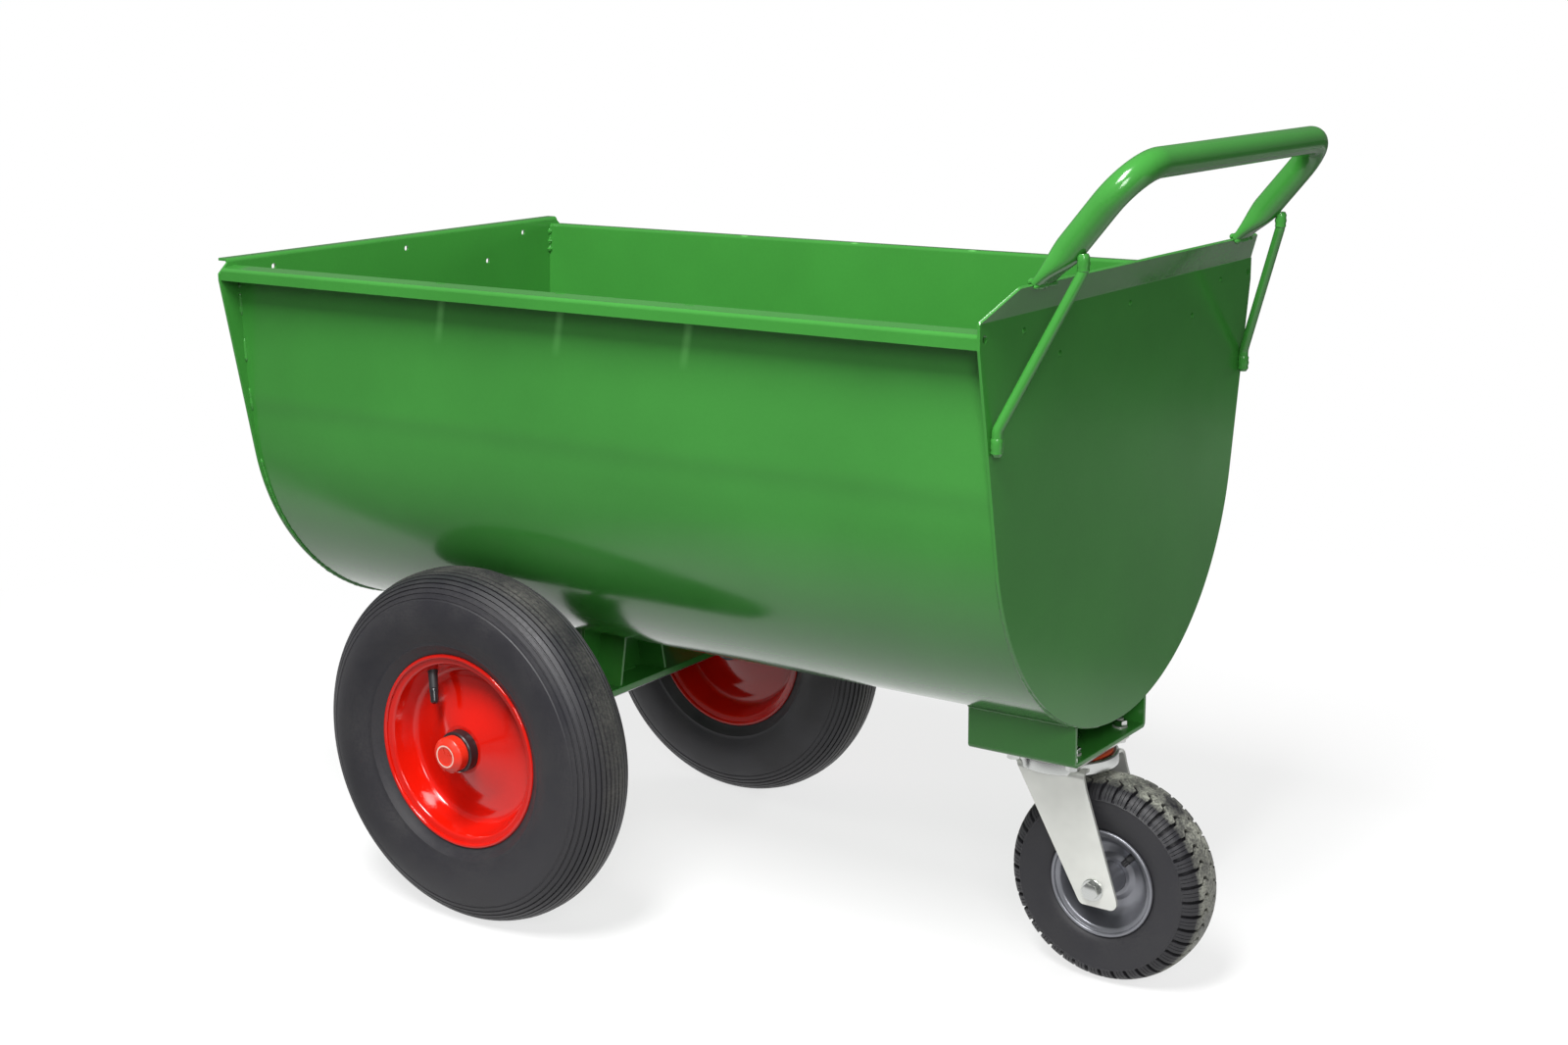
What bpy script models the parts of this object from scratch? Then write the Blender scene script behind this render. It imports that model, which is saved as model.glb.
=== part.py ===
"""Three-wheeled feed cart.

A half-round sheet-steel trough stands on two large air-tyred wheels and one swivel
caster, and is pushed by a bent tube handle. Metres, +Z up, handle end at +X, the
origin on the floor under the middle of the whole cart.
"""
import math
from collections import namedtuple

import bmesh
import bpy
from mathutils import Matrix, Vector

# Clearance that touching pieces keep
GAP = 0.0003

# Trough sheet, bent from one blank
TROUGH_LENGTH = 0.974
SHEET = 0.002
BELLY_RADIUS = 0.2615
BELLY_RISE = 0.0805
BELLY_STEPS = 12
WALL_LEAN = math.radians(2.6)
TROUGH_DEPTH = 0.4318
RIM_WIDTH = 0.026
RIM_DEPTH = 0.0156
RIM_BEND = 0.004
RIM_SLOPE = math.radians(4.6)
SLOT_COUNT = 3
SLOT_SPACING = 0.162
SLOT_LENGTH = 0.012
SLOT_WIDTH = 0.003
SLOT_INSET = 0.006

# End plates
PLATE = 0.003
PLATE_MARGIN = 0.0005
PLATE_SIDE_MARGIN = 0.0013
SHOULDER_DROP = 0.0232
PLATE_RISE = 0.0077
FOLD_RADIUS = 0.003
LIP_LENGTH = 0.0366
LIP_LEAN = math.radians(36.0)
LIP_CHAMFER = 0.035
FRONT_FLANGE = 0.013
FRONT_CORNER = 0.0125
HOLE_DIAMETER = 0.0066
HIGH_HOLE_Y = 0.2146
HIGH_HOLE_DROP = 0.0153
LOW_HOLE_Y = 0.1451
LOW_HOLE_DROP = 0.0450
CORNER_HOLE_DIAMETER = 0.0075
CORNER_HOLE_INSET = 0.0085
CORNER_HOLE_DROP = 0.014

# Push handle and its braces
TUBE_RADIUS = 0.014
HANDLE_HALF_WIDTH = 0.218
HANDLE_REACH = 0.107
HANDLE_RISE = 0.1427
HANDLE_BEND = 0.045
FOOT_WIDTH = 0.040
FOOT_THICKNESS = 0.009
FOOT_LENGTH = 0.042
BRACE_RADIUS = 0.005
BRACE_TOP_RISE = 0.0597
BRACE_TOP_OUT = 0.0035
BRACE_FOOT_DROP = 0.1073
BRACE_FOOT_INSET = 0.010
BRACE_FOOT_LENGTH = 0.018
BRACE_END_LENGTH = 0.010
BRACE_BEND = 0.012

# Axle and the carrier under the belly
AXLE_RADIUS = 0.010
AXLE_BEHIND_FRONT = 0.318
WHEEL_TRACK = 0.5006
BAR_END_CLEARANCE = 0.0183
BAR_WIDTH = 0.083
BAR_THICKNESS = 0.008
WEB_HALF_LENGTH = 0.063
WEB_THICKNESS = 0.005
RIB_THICKNESS = 0.004
RIB_FOOT_Y = 0.0425
RIB_TOP_Y = 0.030
RIB_REACH = 0.0385

# Hubs of the main wheels
HUB_RADIUS = 0.023
HUB_HALF_LENGTH = 0.0337
BEARING_RADIUS = 0.0175
BEARING_LENGTH = 0.014
BEARING_RECESS = 0.0008
BEARING_SHOULDER = 0.002
RUNNING_CLEARANCE = 0.0005
STOP_COLLAR_RADIUS = 0.0165
STOP_COLLAR_LENGTH = 0.008
CAP_RADIUS = 0.020
CAP_LENGTH = 0.0155
CAP_WALL = 0.0015
CAP_EDGE = 0.003
RETAINER_THICKNESS = 0.002

# Caster seat: channel, top plate and its bolts
CHANNEL_LENGTH = 0.1225
CHANNEL_SETBACK = 0.005
CHANNEL_HALF_WIDTH = 0.0805
CHANNEL_THICKNESS = 0.005
KINGPIN_SETBACK = 0.058
TOP_PLATE_LENGTH = 0.088
TOP_PLATE_WIDTH = 0.122
TOP_PLATE_THICKNESS = 0.0035
TOP_PLATE_CORNER = 0.008
SEAT_BOLT_X = 0.034
SEAT_BOLT_Y = 0.0525
SEAT_BOLT_RADIUS = 0.004
SEAT_BOLT_FLATS = 0.013
SEAT_BOLT_HEAD = 0.0053
SEAT_BOLT_STICKOUT = 0.002
SEAT_NUT_HEIGHT = 0.0065
BOLT_CLEARANCE = 0.0005

# Caster swivel and fork
FORK_CLEARANCE = 0.0110
SWIVEL_GAP = 0.0035
SEAL_RADIUS = 0.0480
SEAL_WIDTH = 0.010
RACE_RADIUS = 0.033
RACE_WIDTH = 0.009
HEAD_RADIUS = 0.0535
HEAD_HEIGHT = 0.0044
HEAD_EDGE = 0.001
HEAD_TAPER = 0.004
KINGPIN_RADIUS = 0.006
KINGPIN_HEAD_RADIUS = 0.013
KINGPIN_HEAD_HEIGHT = 0.005
KINGPIN_NUT_FLATS = 0.019
KINGPIN_NUT_HEIGHT = 0.008
KINGPIN_STICKOUT = 0.001
KINGPIN_HEAD_CLEARANCE = 0.002
CASTER_TRAIL = 0.0565
FORK_THICKNESS = 0.0035
FORK_HALF_WIDTH = 0.0475
FORK_BEND = 0.008
FORK_FRONT_X = -0.0345
FORK_BACK_X = 0.0415
FORK_SHOULDER_DROP = 0.016
FORK_SHOULDER_OUT = 0.0045
FORK_TIP_DROP = 0.0180
FORK_TIP_FRONT = 0.0140
FORK_TIP_BACK = 0.0305
FORK_TIP_RADIUS = 0.008
CASTER_BOLT_RADIUS = 0.005
CASTER_BOLT_FLATS = 0.017
CASTER_BOLT_HEAD = 0.0064
CASTER_NUT_HEIGHT = 0.008
CASTER_BOLT_STICKOUT = 0.003
CASTER_HUB_RADIUS = 0.0165
CASTER_HUB_HALF_LENGTH = 0.036
CASTER_BEARING_RADIUS = 0.013
CASTER_BEARING_LENGTH = 0.009
SPACER_RADIUS = 0.009

# Air-tyred wheels: the two large ones and the caster's small one
Wheel = namedtuple("Wheel", "radius half_width tread sidewall lip rim_half_width rim_sheet "
                   "seat well_drop step_out step_in disc_out hub tube_wall valve_radius "
                   "valve_length valve_at steps")
MAIN = Wheel(radius=0.200, half_width=0.0454, tread=0.010, sidewall=0.006,
             lip=0.1100, rim_half_width=0.0330, rim_sheet=0.002, seat=0.0990,
             well_drop=0.0100, step_out=0.080, step_in=0.060, disc_out=0.0210,
             hub=HUB_RADIUS, tube_wall=0.002, valve_radius=0.0045, valve_length=0.040,
             valve_at=math.radians(120.0), steps=24)
SMALL = Wheel(radius=0.109, half_width=0.0335, tread=0.008, sidewall=0.005,
              lip=0.0580, rim_half_width=0.0295, rim_sheet=0.002, seat=0.0500,
              well_drop=0.0085, step_out=0.032, step_in=0.026, disc_out=0.0040,
              hub=CASTER_HUB_RADIUS, tube_wall=0.002, valve_radius=0.0040, valve_length=0.018,
              valve_at=math.radians(48.0), steps=20)

# The valves pass the rim's seat at this share of the way out to its edge, leaning outwards
VALVE_SIDE = 0.5
VALVE_TILT = math.radians(26.0)

# Places that follow from the sizes above
HANDLE_END_X = (TROUGH_LENGTH + FRONT_FLANGE - HANDLE_REACH - TUBE_RADIUS) / 2
FRONT_X = HANDLE_END_X - TROUGH_LENGTH
AXLE_X = FRONT_X + AXLE_BEHIND_FRONT
AXLE_Z = MAIN.radius
BELLY_Z = AXLE_Z + BELLY_RISE
RIM_Z = BELLY_Z + TROUGH_DEPTH
HANDLE_Z = RIM_Z + HANDLE_RISE
BRACE_TOP_Z = RIM_Z + BRACE_TOP_RISE
BRACE_TOP_Y = HANDLE_HALF_WIDTH + BRACE_TOP_OUT
BRACE_FOOT_Z = RIM_Z - BRACE_FOOT_DROP
KINGPIN_X = HANDLE_END_X - KINGPIN_SETBACK
BELLY_CENTRE_Z = BELLY_Z + BELLY_RADIUS
WALL_FOOT_Z = BELLY_CENTRE_Z - BELLY_RADIUS * math.sin(WALL_LEAN)
WALL_TOP_Y = BELLY_RADIUS * math.cos(WALL_LEAN) + (RIM_Z - WALL_FOOT_Z) * math.tan(WALL_LEAN)
RIM_OUTER_Y = WALL_TOP_Y - SHEET + RIM_WIDTH
RIM_OUTER_Z = RIM_Z - RIM_WIDTH * math.tan(RIM_SLOPE)
PLATE_HALF_WIDTH = RIM_OUTER_Y + PLATE_SIDE_MARGIN
PLATE_RADIUS = BELLY_RADIUS + PLATE_MARGIN
PLATE_TOP_Z = RIM_Z + PLATE_RISE
SHOULDER_Z = PLATE_TOP_Z - SHOULDER_DROP
SHOULDER_REACH = math.hypot(PLATE_HALF_WIDTH, SHOULDER_Z - BELLY_CENTRE_Z)
PLATE_FLARE = (math.acos(PLATE_RADIUS / SHOULDER_REACH)
               - math.atan2(SHOULDER_Z - BELLY_CENTRE_Z, PLATE_HALF_WIDTH))
BAR_TOP_Z = AXLE_Z + AXLE_RADIUS + GAP + BAR_THICKNESS
FORK_TOP_Z = 2 * SMALL.radius + FORK_CLEARANCE + FORK_THICKNESS
HEAD_TOP_Z = FORK_TOP_Z + GAP + HEAD_HEIGHT
TOP_PLATE_Z = HEAD_TOP_Z + SWIVEL_GAP
CHANNEL_Z = TOP_PLATE_Z + TOP_PLATE_THICKNESS + GAP
HUB_INNER_Y = WHEEL_TRACK / 2 - HUB_HALF_LENGTH
HUB_OUTER_Y = WHEEL_TRACK / 2 + HUB_HALF_LENGTH
CAP_FACE_Y = HUB_OUTER_Y + GAP + CAP_LENGTH
BAR_HALF_LENGTH = HUB_INNER_Y - GAP - STOP_COLLAR_LENGTH - BAR_END_CLEARANCE

GREEN = (0.045, 0.215, 0.038)
RED = (0.650, 0.020, 0.010)
ORANGE = (0.800, 0.090, 0.020)
BLACK = (0.018, 0.018, 0.020)
ZINC = (0.620, 0.630, 0.620)
STEEL = (0.350, 0.350, 0.350)
GREY = (0.400, 0.410, 0.420)


def collection(name):
    """A new collection in the scene."""
    made = bpy.data.collections.new(name)
    bpy.context.scene.collection.children.link(made)
    return made


def finish(name, colour, roughness, metallic=0.0):
    """One sub-part's own Principled material."""
    made = bpy.data.materials.new(name)
    made.use_nodes = True
    shader = made.node_tree.nodes["Principled BSDF"]
    shader.inputs["Base Color"].default_value = (*colour, 1.0)
    shader.inputs["Roughness"].default_value = roughness
    shader.inputs["Metallic"].default_value = metallic
    made.diffuse_color = (*colour, 1.0)
    return made


def paint(name):
    return finish(name, GREEN, 0.30)


def zinc(name):
    return finish(name, ZINC, 0.35, 1.0)


def rubber(name):
    return finish(name, BLACK, 0.70)


def red_paint(name):
    return finish(name, RED, 0.25)


def grey_paint(name):
    return finish(name, GREY, 0.35, 0.6)


def add(name, data, material, parent=None, location=(0, 0, 0), rotation=(0, 0, 0)):
    """A named sub-part in the cart's collection. Copies of a piece may share its data."""
    made = bpy.data.objects.new(name, data)
    made.location = location
    made.rotation_euler = rotation
    made.parent = parent
    if not data.materials:
        data.materials.append(material)
    parts.objects.link(made)
    return made


def add_cutter(name, mesh, parent=None, location=(0, 0, 0), rotation=(0, 0, 0)):
    """A guide that cuts or joins, kept out of the model itself."""
    made = bpy.data.objects.new(name, mesh)
    made.location = location
    made.rotation_euler = rotation
    made.parent = parent
    made.hide_render = True
    made.display_type = "WIRE"
    cutters.objects.link(made)
    return made


def empty(name, location, rotation=(0, 0, 0), parent=None):
    """A joint's axis, which its pieces hang from."""
    made = bpy.data.objects.new(name, None)
    made.location = location
    made.rotation_euler = rotation
    made.parent = parent
    parts.objects.link(made)
    return made


def boolean(target, tool, operation="DIFFERENCE"):
    made = target.modifiers.new(operation.lower(), "BOOLEAN")
    made.operation = operation
    made.solver = "EXACT"
    made.object = tool


def box_mesh(name, size, centre=(0, 0, 0)):
    mesh = bpy.data.meshes.new(name)
    bm = bmesh.new()
    place = Matrix.Translation(centre) @ Matrix.Diagonal((*size, 1.0))
    bmesh.ops.create_cube(bm, size=1.0, matrix=place)
    bm.to_mesh(mesh)
    bm.free()
    return mesh


def rod_mesh(name, radius, length, segments, centre=(0, 0, 0), turn=Matrix()):
    """A closed cylinder or prism along local Z, turned and moved."""
    mesh = bpy.data.meshes.new(name)
    bm = bmesh.new()
    bmesh.ops.create_cone(bm, cap_ends=True, segments=segments, radius1=radius, radius2=radius,
                          depth=length, matrix=Matrix.Translation(centre) @ turn)
    bm.to_mesh(mesh)
    bm.free()
    return mesh


def merged_mesh(name, meshes):
    """Several meshes' solids in one mesh."""
    made = bpy.data.meshes.new(name)
    bm = bmesh.new()
    for mesh in meshes:
        bm.from_mesh(mesh)
    bm.to_mesh(made)
    bm.free()
    return made


def swept_mesh(name, line, way):
    """An open surface: a line of points swept along a straight way."""
    mesh = bpy.data.meshes.new(name)
    bm = bmesh.new()
    row = [bm.verts.new(point) for point in line]
    edges = [bm.edges.new(pair) for pair in zip(row, row[1:])]
    swept = bmesh.ops.extrude_edge_only(bm, edges=edges)["geom"]
    moved = [item for item in swept if isinstance(item, bmesh.types.BMVert)]
    bmesh.ops.translate(bm, vec=way, verts=moved)
    bm.to_mesh(mesh)
    bm.free()
    return mesh


def solved(name, base, tool, operation):
    """The base mesh cut by, or joined with, a tool mesh."""
    body = add_cutter(name, base)
    helper = add_cutter(name, tool)
    boolean(body, helper, operation)
    bpy.context.view_layer.update()
    evaluated = body.evaluated_get(bpy.context.evaluated_depsgraph_get())
    made = bpy.data.meshes.new_from_object(evaluated)
    bpy.data.objects.remove(body)
    bpy.data.objects.remove(helper)
    made.name = name
    return made


def circle(radius, segments, centre=(0.0, 0.0)):
    """Points around a circle."""
    turn = 2 * math.pi / segments
    return [(centre[0] + radius * math.cos(step * turn), centre[1] + radius * math.sin(step * turn))
            for step in range(segments)]


def arc(centre, radius, start, end, steps):
    """Points along an arc, both ends included."""
    angles = [start + (end - start) * step / steps for step in range(steps + 1)]
    return [(centre[0] + radius * math.cos(angle), centre[1] + radius * math.sin(angle))
            for angle in angles]


def rounded(corners, radii, steps):
    """Straight runs through the corners, each inner corner rounded to its radius."""
    corners = [Vector(corner) for corner in corners]
    points = [corners[0]]
    for before, corner, after, radius in zip(corners, corners[1:], corners[2:], radii):
        back = (before - corner).normalized()
        onward = (after - corner).normalized()
        half = back.angle(onward) / 2
        centre = corner + (back + onward).normalized() * radius / math.sin(half)
        start = corner + back * radius / math.tan(half) - centre
        end = corner + onward * radius / math.tan(half) - centre
        sweep = start.angle(end)
        for step in range(steps + 1):
            share = step / steps
            first = math.sin((1 - share) * sweep) / math.sin(sweep)
            second = math.sin(share * sweep) / math.sin(sweep)
            points.append(centre + start * first + end * second)
    points.append(corners[-1])
    return points


def rounded_loop(corners, radii, steps):
    """A closed outline with every corner rounded."""
    wrapped = [corners[-1], *corners, corners[0]]
    return rounded(wrapped, radii, steps)[1:-1]


def inset(loop, distance):
    """A clockwise closed loop moved inwards by a distance."""
    points = [Vector(point) for point in loop]
    made = []
    for before, point, after in zip(points[-1:] + points[:-1], points, points[1:] + points[:1]):
        into = (point - before).normalized()
        out = (after - point).normalized()
        side_in = Vector((into.y, -into.x))
        side_out = Vector((out.y, -out.x))
        mitre = (side_in + side_out).normalized()
        made.append(tuple(point + mitre * distance / mitre.dot(side_in)))
    return made


def flat_curve(name, loops, thickness):
    """A flat outline, with any holes, as a filled 2D curve."""
    curve = bpy.data.curves.new(name, "CURVE")
    curve.dimensions = "2D"
    curve.fill_mode = "BOTH"
    curve.extrude = thickness / 2
    for loop in loops:
        spline = curve.splines.new("POLY")
        spline.points.add(len(loop) - 1)
        for point, place in zip(spline.points, loop):
            point.co = (place[0], place[1], 0.0, 1.0)
        spline.use_cyclic_u = True
    return curve


def round_bar(name, points, radius, resolution):
    """A bar or tube along a run of points."""
    curve = bpy.data.curves.new(name, "CURVE")
    curve.dimensions = "3D"
    curve.bevel_depth = radius
    curve.bevel_resolution = resolution
    curve.use_fill_caps = True
    spline = curve.splines.new("POLY")
    spline.points.add(len(points) - 1)
    for point, place in zip(spline.points, points):
        point.co = (*place, 1.0)
    return curve


def mesh_of_curve(curve, turn=Matrix()):
    """The curve's solid as a mesh with welded caps."""
    holder = bpy.data.objects.new(curve.name, curve)
    holder.matrix_world = turn
    cutters.objects.link(holder)
    bpy.context.view_layer.update()
    evaluated = holder.evaluated_get(bpy.context.evaluated_depsgraph_get())
    mesh = bpy.data.meshes.new_from_object(evaluated)
    bm = bmesh.new()
    bm.from_mesh(mesh)
    bmesh.ops.remove_doubles(bm, verts=bm.verts, dist=0.00001)
    bmesh.ops.transform(bm, matrix=holder.matrix_world, verts=bm.verts)
    bmesh.ops.recalc_face_normals(bm, faces=bm.faces)
    bm.to_mesh(mesh)
    bm.free()
    bpy.data.objects.remove(holder)
    bpy.data.curves.remove(curve)
    return mesh


def turned_mesh(name, loops, closed=True):
    """Profile lines for a Screw: (radius, height) points, down the outer side."""
    mesh = bpy.data.meshes.new(name)
    points = []
    edges = []
    for loop in loops:
        first = len(points)
        points += [(radius, 0.0, height) for radius, height in loop]
        edges += [(index, index + 1) for index in range(first, len(points) - 1)]
        if closed:
            edges.append((len(points) - 1, first))
    mesh.from_pydata(points, edges, [])
    return mesh


def screw(target, steps):
    """Turn the profile once round its Z axis."""
    made = target.modifiers.new("turn", "SCREW")
    made.angle = 2 * math.pi
    made.steps = steps
    made.render_steps = steps
    made.use_merge_vertices = True
    made.merge_threshold = 0.00001
    made.use_smooth_shade = True


def solidify(target, thickness, offset):
    made = target.modifiers.new("thickness", "SOLIDIFY")
    made.thickness = thickness
    made.offset = offset
    made.use_even_offset = True


def mirror_across_y(target):
    """The other half of a piece that is open on the cart's middle plane."""
    made = target.modifiers.new("mirror", "MIRROR")
    made.use_axis = (False, True, False)
    made.merge_threshold = 0.00001


def turned(name, loop, steps, material, parent=None, location=(0, 0, 0), rotation=(0, 0, 0),
           closed=True):
    made = add(name, turned_mesh(name, [loop], closed), material, parent, location, rotation)
    screw(made, steps)
    return made


def ring(inner, outer, low, high):
    """A plain ring's profile, clockwise."""
    return [(inner, high), (outer, high), (outer, low), (inner, low)]


def fold(mesh, line_z, face_x, side, radius, angle, steps=3):
    """Bend the part of an upright plate above a line towards +X or -X.

    face_x is the plate's middle plane, side is +1 or -1, and radius is the bend's
    middle radius. The plate is first scored along the bend.
    """
    length = radius * angle
    bm = bmesh.new()
    bm.from_mesh(mesh)
    for step in range(steps + 1):
        height = line_z + length * step / steps
        everything = bm.verts[:] + bm.edges[:] + bm.faces[:]
        bmesh.ops.bisect_plane(bm, geom=everything, plane_co=(0, 0, height), plane_no=(0, 0, 1),
                               dist=0.000001)
    for vertex in bm.verts:
        height = vertex.co.z - line_z
        if height <= 0:
            continue
        reach = radius - side * (vertex.co.x - face_x)
        turn = min(height / radius, angle)
        beyond = max(height - length, 0.0)
        out = radius - reach * math.cos(turn) + beyond * math.sin(turn)
        vertex.co.x = face_x + side * out
        vertex.co.z = line_z + reach * math.sin(turn) + beyond * math.cos(turn)
    bm.to_mesh(mesh)
    bm.free()


# Local X and Y of a flat outline become the cart's Y and Z, its thickness runs along X
UPRIGHT = Matrix(((0, 0, 1, 0), (1, 0, 0, 0), (0, 1, 0, 0), (0, 0, 0, 1)))
# Local Z of a turned piece becomes the cart's -Y or +Y
AXIS_LEFT = (math.pi / 2, 0, 0)
AXIS_RIGHT = (-math.pi / 2, 0, 0)


def belly_line(radius):
    """One half of the belly's arc, from the bottom up to where the wall starts."""
    return arc((0.0, BELLY_CENTRE_Z), radius, -math.pi / 2, -WALL_LEAN, BELLY_STEPS)


def under_belly(y):
    """Height just under the belly's facets at y."""
    line = belly_line(BELLY_RADIUS)
    for (low_y, low_z), (high_y, high_z) in zip(line, line[1:]):
        if low_y <= abs(y) <= high_y:
            return low_z + (high_z - low_z) * (abs(y) - low_y) / (high_y - low_y) - GAP
    raise ValueError("outside the belly's arc")


def rim_top_z(y):
    """Height of the rim's sloped top at y."""
    return RIM_Z - (y - WALL_TOP_Y + SHEET) * math.tan(RIM_SLOPE)


def make_trough():
    """The sheet: half of its inner face as a path, mirrored and thickened outwards."""
    inner = BELLY_RADIUS - SHEET
    belly = belly_line(inner)
    inner_y = WALL_TOP_Y - SHEET
    fold_line = rounded([belly[-1], (inner_y, RIM_Z), (RIM_OUTER_Y, RIM_OUTER_Z),
                         (RIM_OUTER_Y, RIM_Z - RIM_DEPTH)], [RIM_BEND, RIM_BEND], 3)
    path = belly + [tuple(point) for point in fold_line[1:]]
    start = FRONT_X + PLATE + GAP
    mesh = swept_mesh("trough_shell", [(start, y, z) for y, z in path],
                      (TROUGH_LENGTH - 2 * (PLATE + GAP), 0, 0))
    shell = add("trough_shell", mesh, paint("trough_paint"))
    mirror_across_y(shell)
    solidify(shell, SHEET, -1.0)

    slots = []
    for index in range(SLOT_COUNT):
        slot_x = AXLE_X + index * SLOT_SPACING
        for side in (-1, 1):
            y = side * (inner_y + SLOT_INSET)
            slots.append(box_mesh("slot", (SLOT_LENGTH, SLOT_WIDTH, 3 * SHEET),
                                  (slot_x, y, rim_top_z(abs(y)) - SHEET / 2)))
    boolean(shell, add_cutter("rim_slots_cut", merged_mesh("rim_slots_cut", slots)))


def plate_side(top):
    """One side of an end plate's outline, from the belly's bottom up to a height."""
    side = arc((0.0, BELLY_CENTRE_Z), PLATE_RADIUS, -math.pi / 2, -PLATE_FLARE, BELLY_STEPS)
    side.append((PLATE_HALF_WIDTH, SHOULDER_Z))
    side.append((PLATE_HALF_WIDTH, top))
    return side


def both_sides(side):
    """A closed outline from its +Y side, which starts on the middle line."""
    return side + [(-y, z) for y, z in reversed(side[1:])]


def plate_holes(corners):
    """The five holes in a W under the top edge, and the two over the rim's ends."""
    high_z = PLATE_TOP_Z - HIGH_HOLE_DROP
    low_z = PLATE_TOP_Z - LOW_HOLE_DROP
    places = [(-HIGH_HOLE_Y, high_z), (0.0, high_z), (HIGH_HOLE_Y, high_z),
              (-LOW_HOLE_Y, low_z), (LOW_HOLE_Y, low_z)]
    loops = [circle(HOLE_DIAMETER / 2, 12, place) for place in places]
    if corners:
        corner_y = PLATE_HALF_WIDTH - CORNER_HOLE_INSET
        corner_z = PLATE_TOP_Z - CORNER_HOLE_DROP
        loops += [circle(CORNER_HOLE_DIAMETER / 2, 12, (side * corner_y, corner_z))
                  for side in (-1, 1)]
    return loops


def make_handle_end_plate():
    """Flat end plate whose top leans out as a stiff lip with cut ends."""
    side = plate_side(PLATE_TOP_Z)
    lip_top = PLATE_TOP_Z + LIP_LENGTH
    side.append((PLATE_HALF_WIDTH - LIP_CHAMFER, lip_top))
    curve = flat_curve("handle_end_plate", [both_sides(side), *plate_holes(True)], PLATE)
    mesh = mesh_of_curve(curve, Matrix.Translation((HANDLE_END_X - PLATE / 2, 0, 0)) @ UPRIGHT)
    fold(mesh, PLATE_TOP_Z, HANDLE_END_X - PLATE / 2, 1, FOLD_RADIUS, LIP_LEAN)
    add("handle_end_plate", mesh, paint("handle_end_paint"))


def make_front_plate():
    """Flat end plate with a short flange folded out at the top."""
    radius = FOLD_RADIUS
    fold_z = PLATE_TOP_Z - radius - PLATE / 2
    side = plate_side(PLATE_TOP_Z - FRONT_CORNER - PLATE)
    side.append((PLATE_HALF_WIDTH - FRONT_CORNER, fold_z))
    run = radius * math.pi / 2 + FRONT_FLANGE + PLATE / 2 - radius
    side.append((PLATE_HALF_WIDTH - FRONT_CORNER, fold_z + run))
    curve = flat_curve("front_end_plate", [both_sides(side), *plate_holes(False)], PLATE)
    mesh = mesh_of_curve(curve, Matrix.Translation((FRONT_X + PLATE / 2, 0, 0)) @ UPRIGHT)
    fold(mesh, fold_z, FRONT_X + PLATE / 2, -1, radius, math.pi / 2)
    add("front_end_plate", mesh, paint("front_end_paint"))


def lip_edge():
    """Middle of the lip's top edge, and the way the lip points, in X and Z."""
    way = Vector((math.sin(LIP_LEAN), math.cos(LIP_LEAN)))
    bend_out = FOLD_RADIUS * (1 - math.cos(LIP_LEAN))
    bend_up = FOLD_RADIUS * math.sin(LIP_LEAN)
    start = Vector((HANDLE_END_X - PLATE / 2 + bend_out, PLATE_TOP_Z + bend_up))
    return start + way * (LIP_LENGTH - FOLD_RADIUS * LIP_LEAN), way


def arm_line():
    """An arm's foot and its direction in the upright plane."""
    edge, _ = lip_edge()
    corner = Vector((HANDLE_END_X + HANDLE_REACH, HANDLE_Z))
    way = (corner - edge).normalized()
    return edge + way * 2 * GAP, corner, way


def make_handle():
    """One bent tube, its two ends pressed flat and welded to the lip's edge."""
    foot, corner, way = arm_line()
    stations = [foot + way * FOOT_LENGTH * share for share in (0.0, 0.25, 0.5, 0.75, 1.0)]
    left = [Vector((point.x, -HANDLE_HALF_WIDTH, point.y)) for point in stations]
    right = [Vector((point.x, HANDLE_HALF_WIDTH, point.y)) for point in reversed(stations)]
    corners = [left[-1], (corner.x, -HANDLE_HALF_WIDTH, corner.y),
               (corner.x, HANDLE_HALF_WIDTH, corner.y), right[0]]
    bent = rounded(corners, [HANDLE_BEND, HANDLE_BEND], 6)
    mesh = mesh_of_curve(round_bar("push_handle", left[:-1] + bent + right[1:], TUBE_RADIUS, 4))
    thin = FOOT_THICKNESS / (2 * TUBE_RADIUS)
    wide = FOOT_WIDTH / (2 * TUBE_RADIUS)
    normal = Vector((-way.y, way.x))
    for vertex in mesh.vertices:
        spot = Vector((vertex.co.x, vertex.co.z)) - foot
        along = spot.dot(way)
        share = min(max(along / FOOT_LENGTH, 0.0), 1.0)
        if share == 1.0:
            continue
        ease = share * share * (3 - 2 * share)
        place = foot + way * along + normal * spot.dot(normal) * (thin + (1 - thin) * ease)
        middle = math.copysign(HANDLE_HALF_WIDTH, vertex.co.y)
        vertex.co.x = place.x
        vertex.co.z = place.y
        vertex.co.y = middle + (vertex.co.y - middle) * (wide + (1 - wide) * ease)
    mesh.shade_smooth()
    add("push_handle", mesh, paint("handle_paint"))


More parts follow.
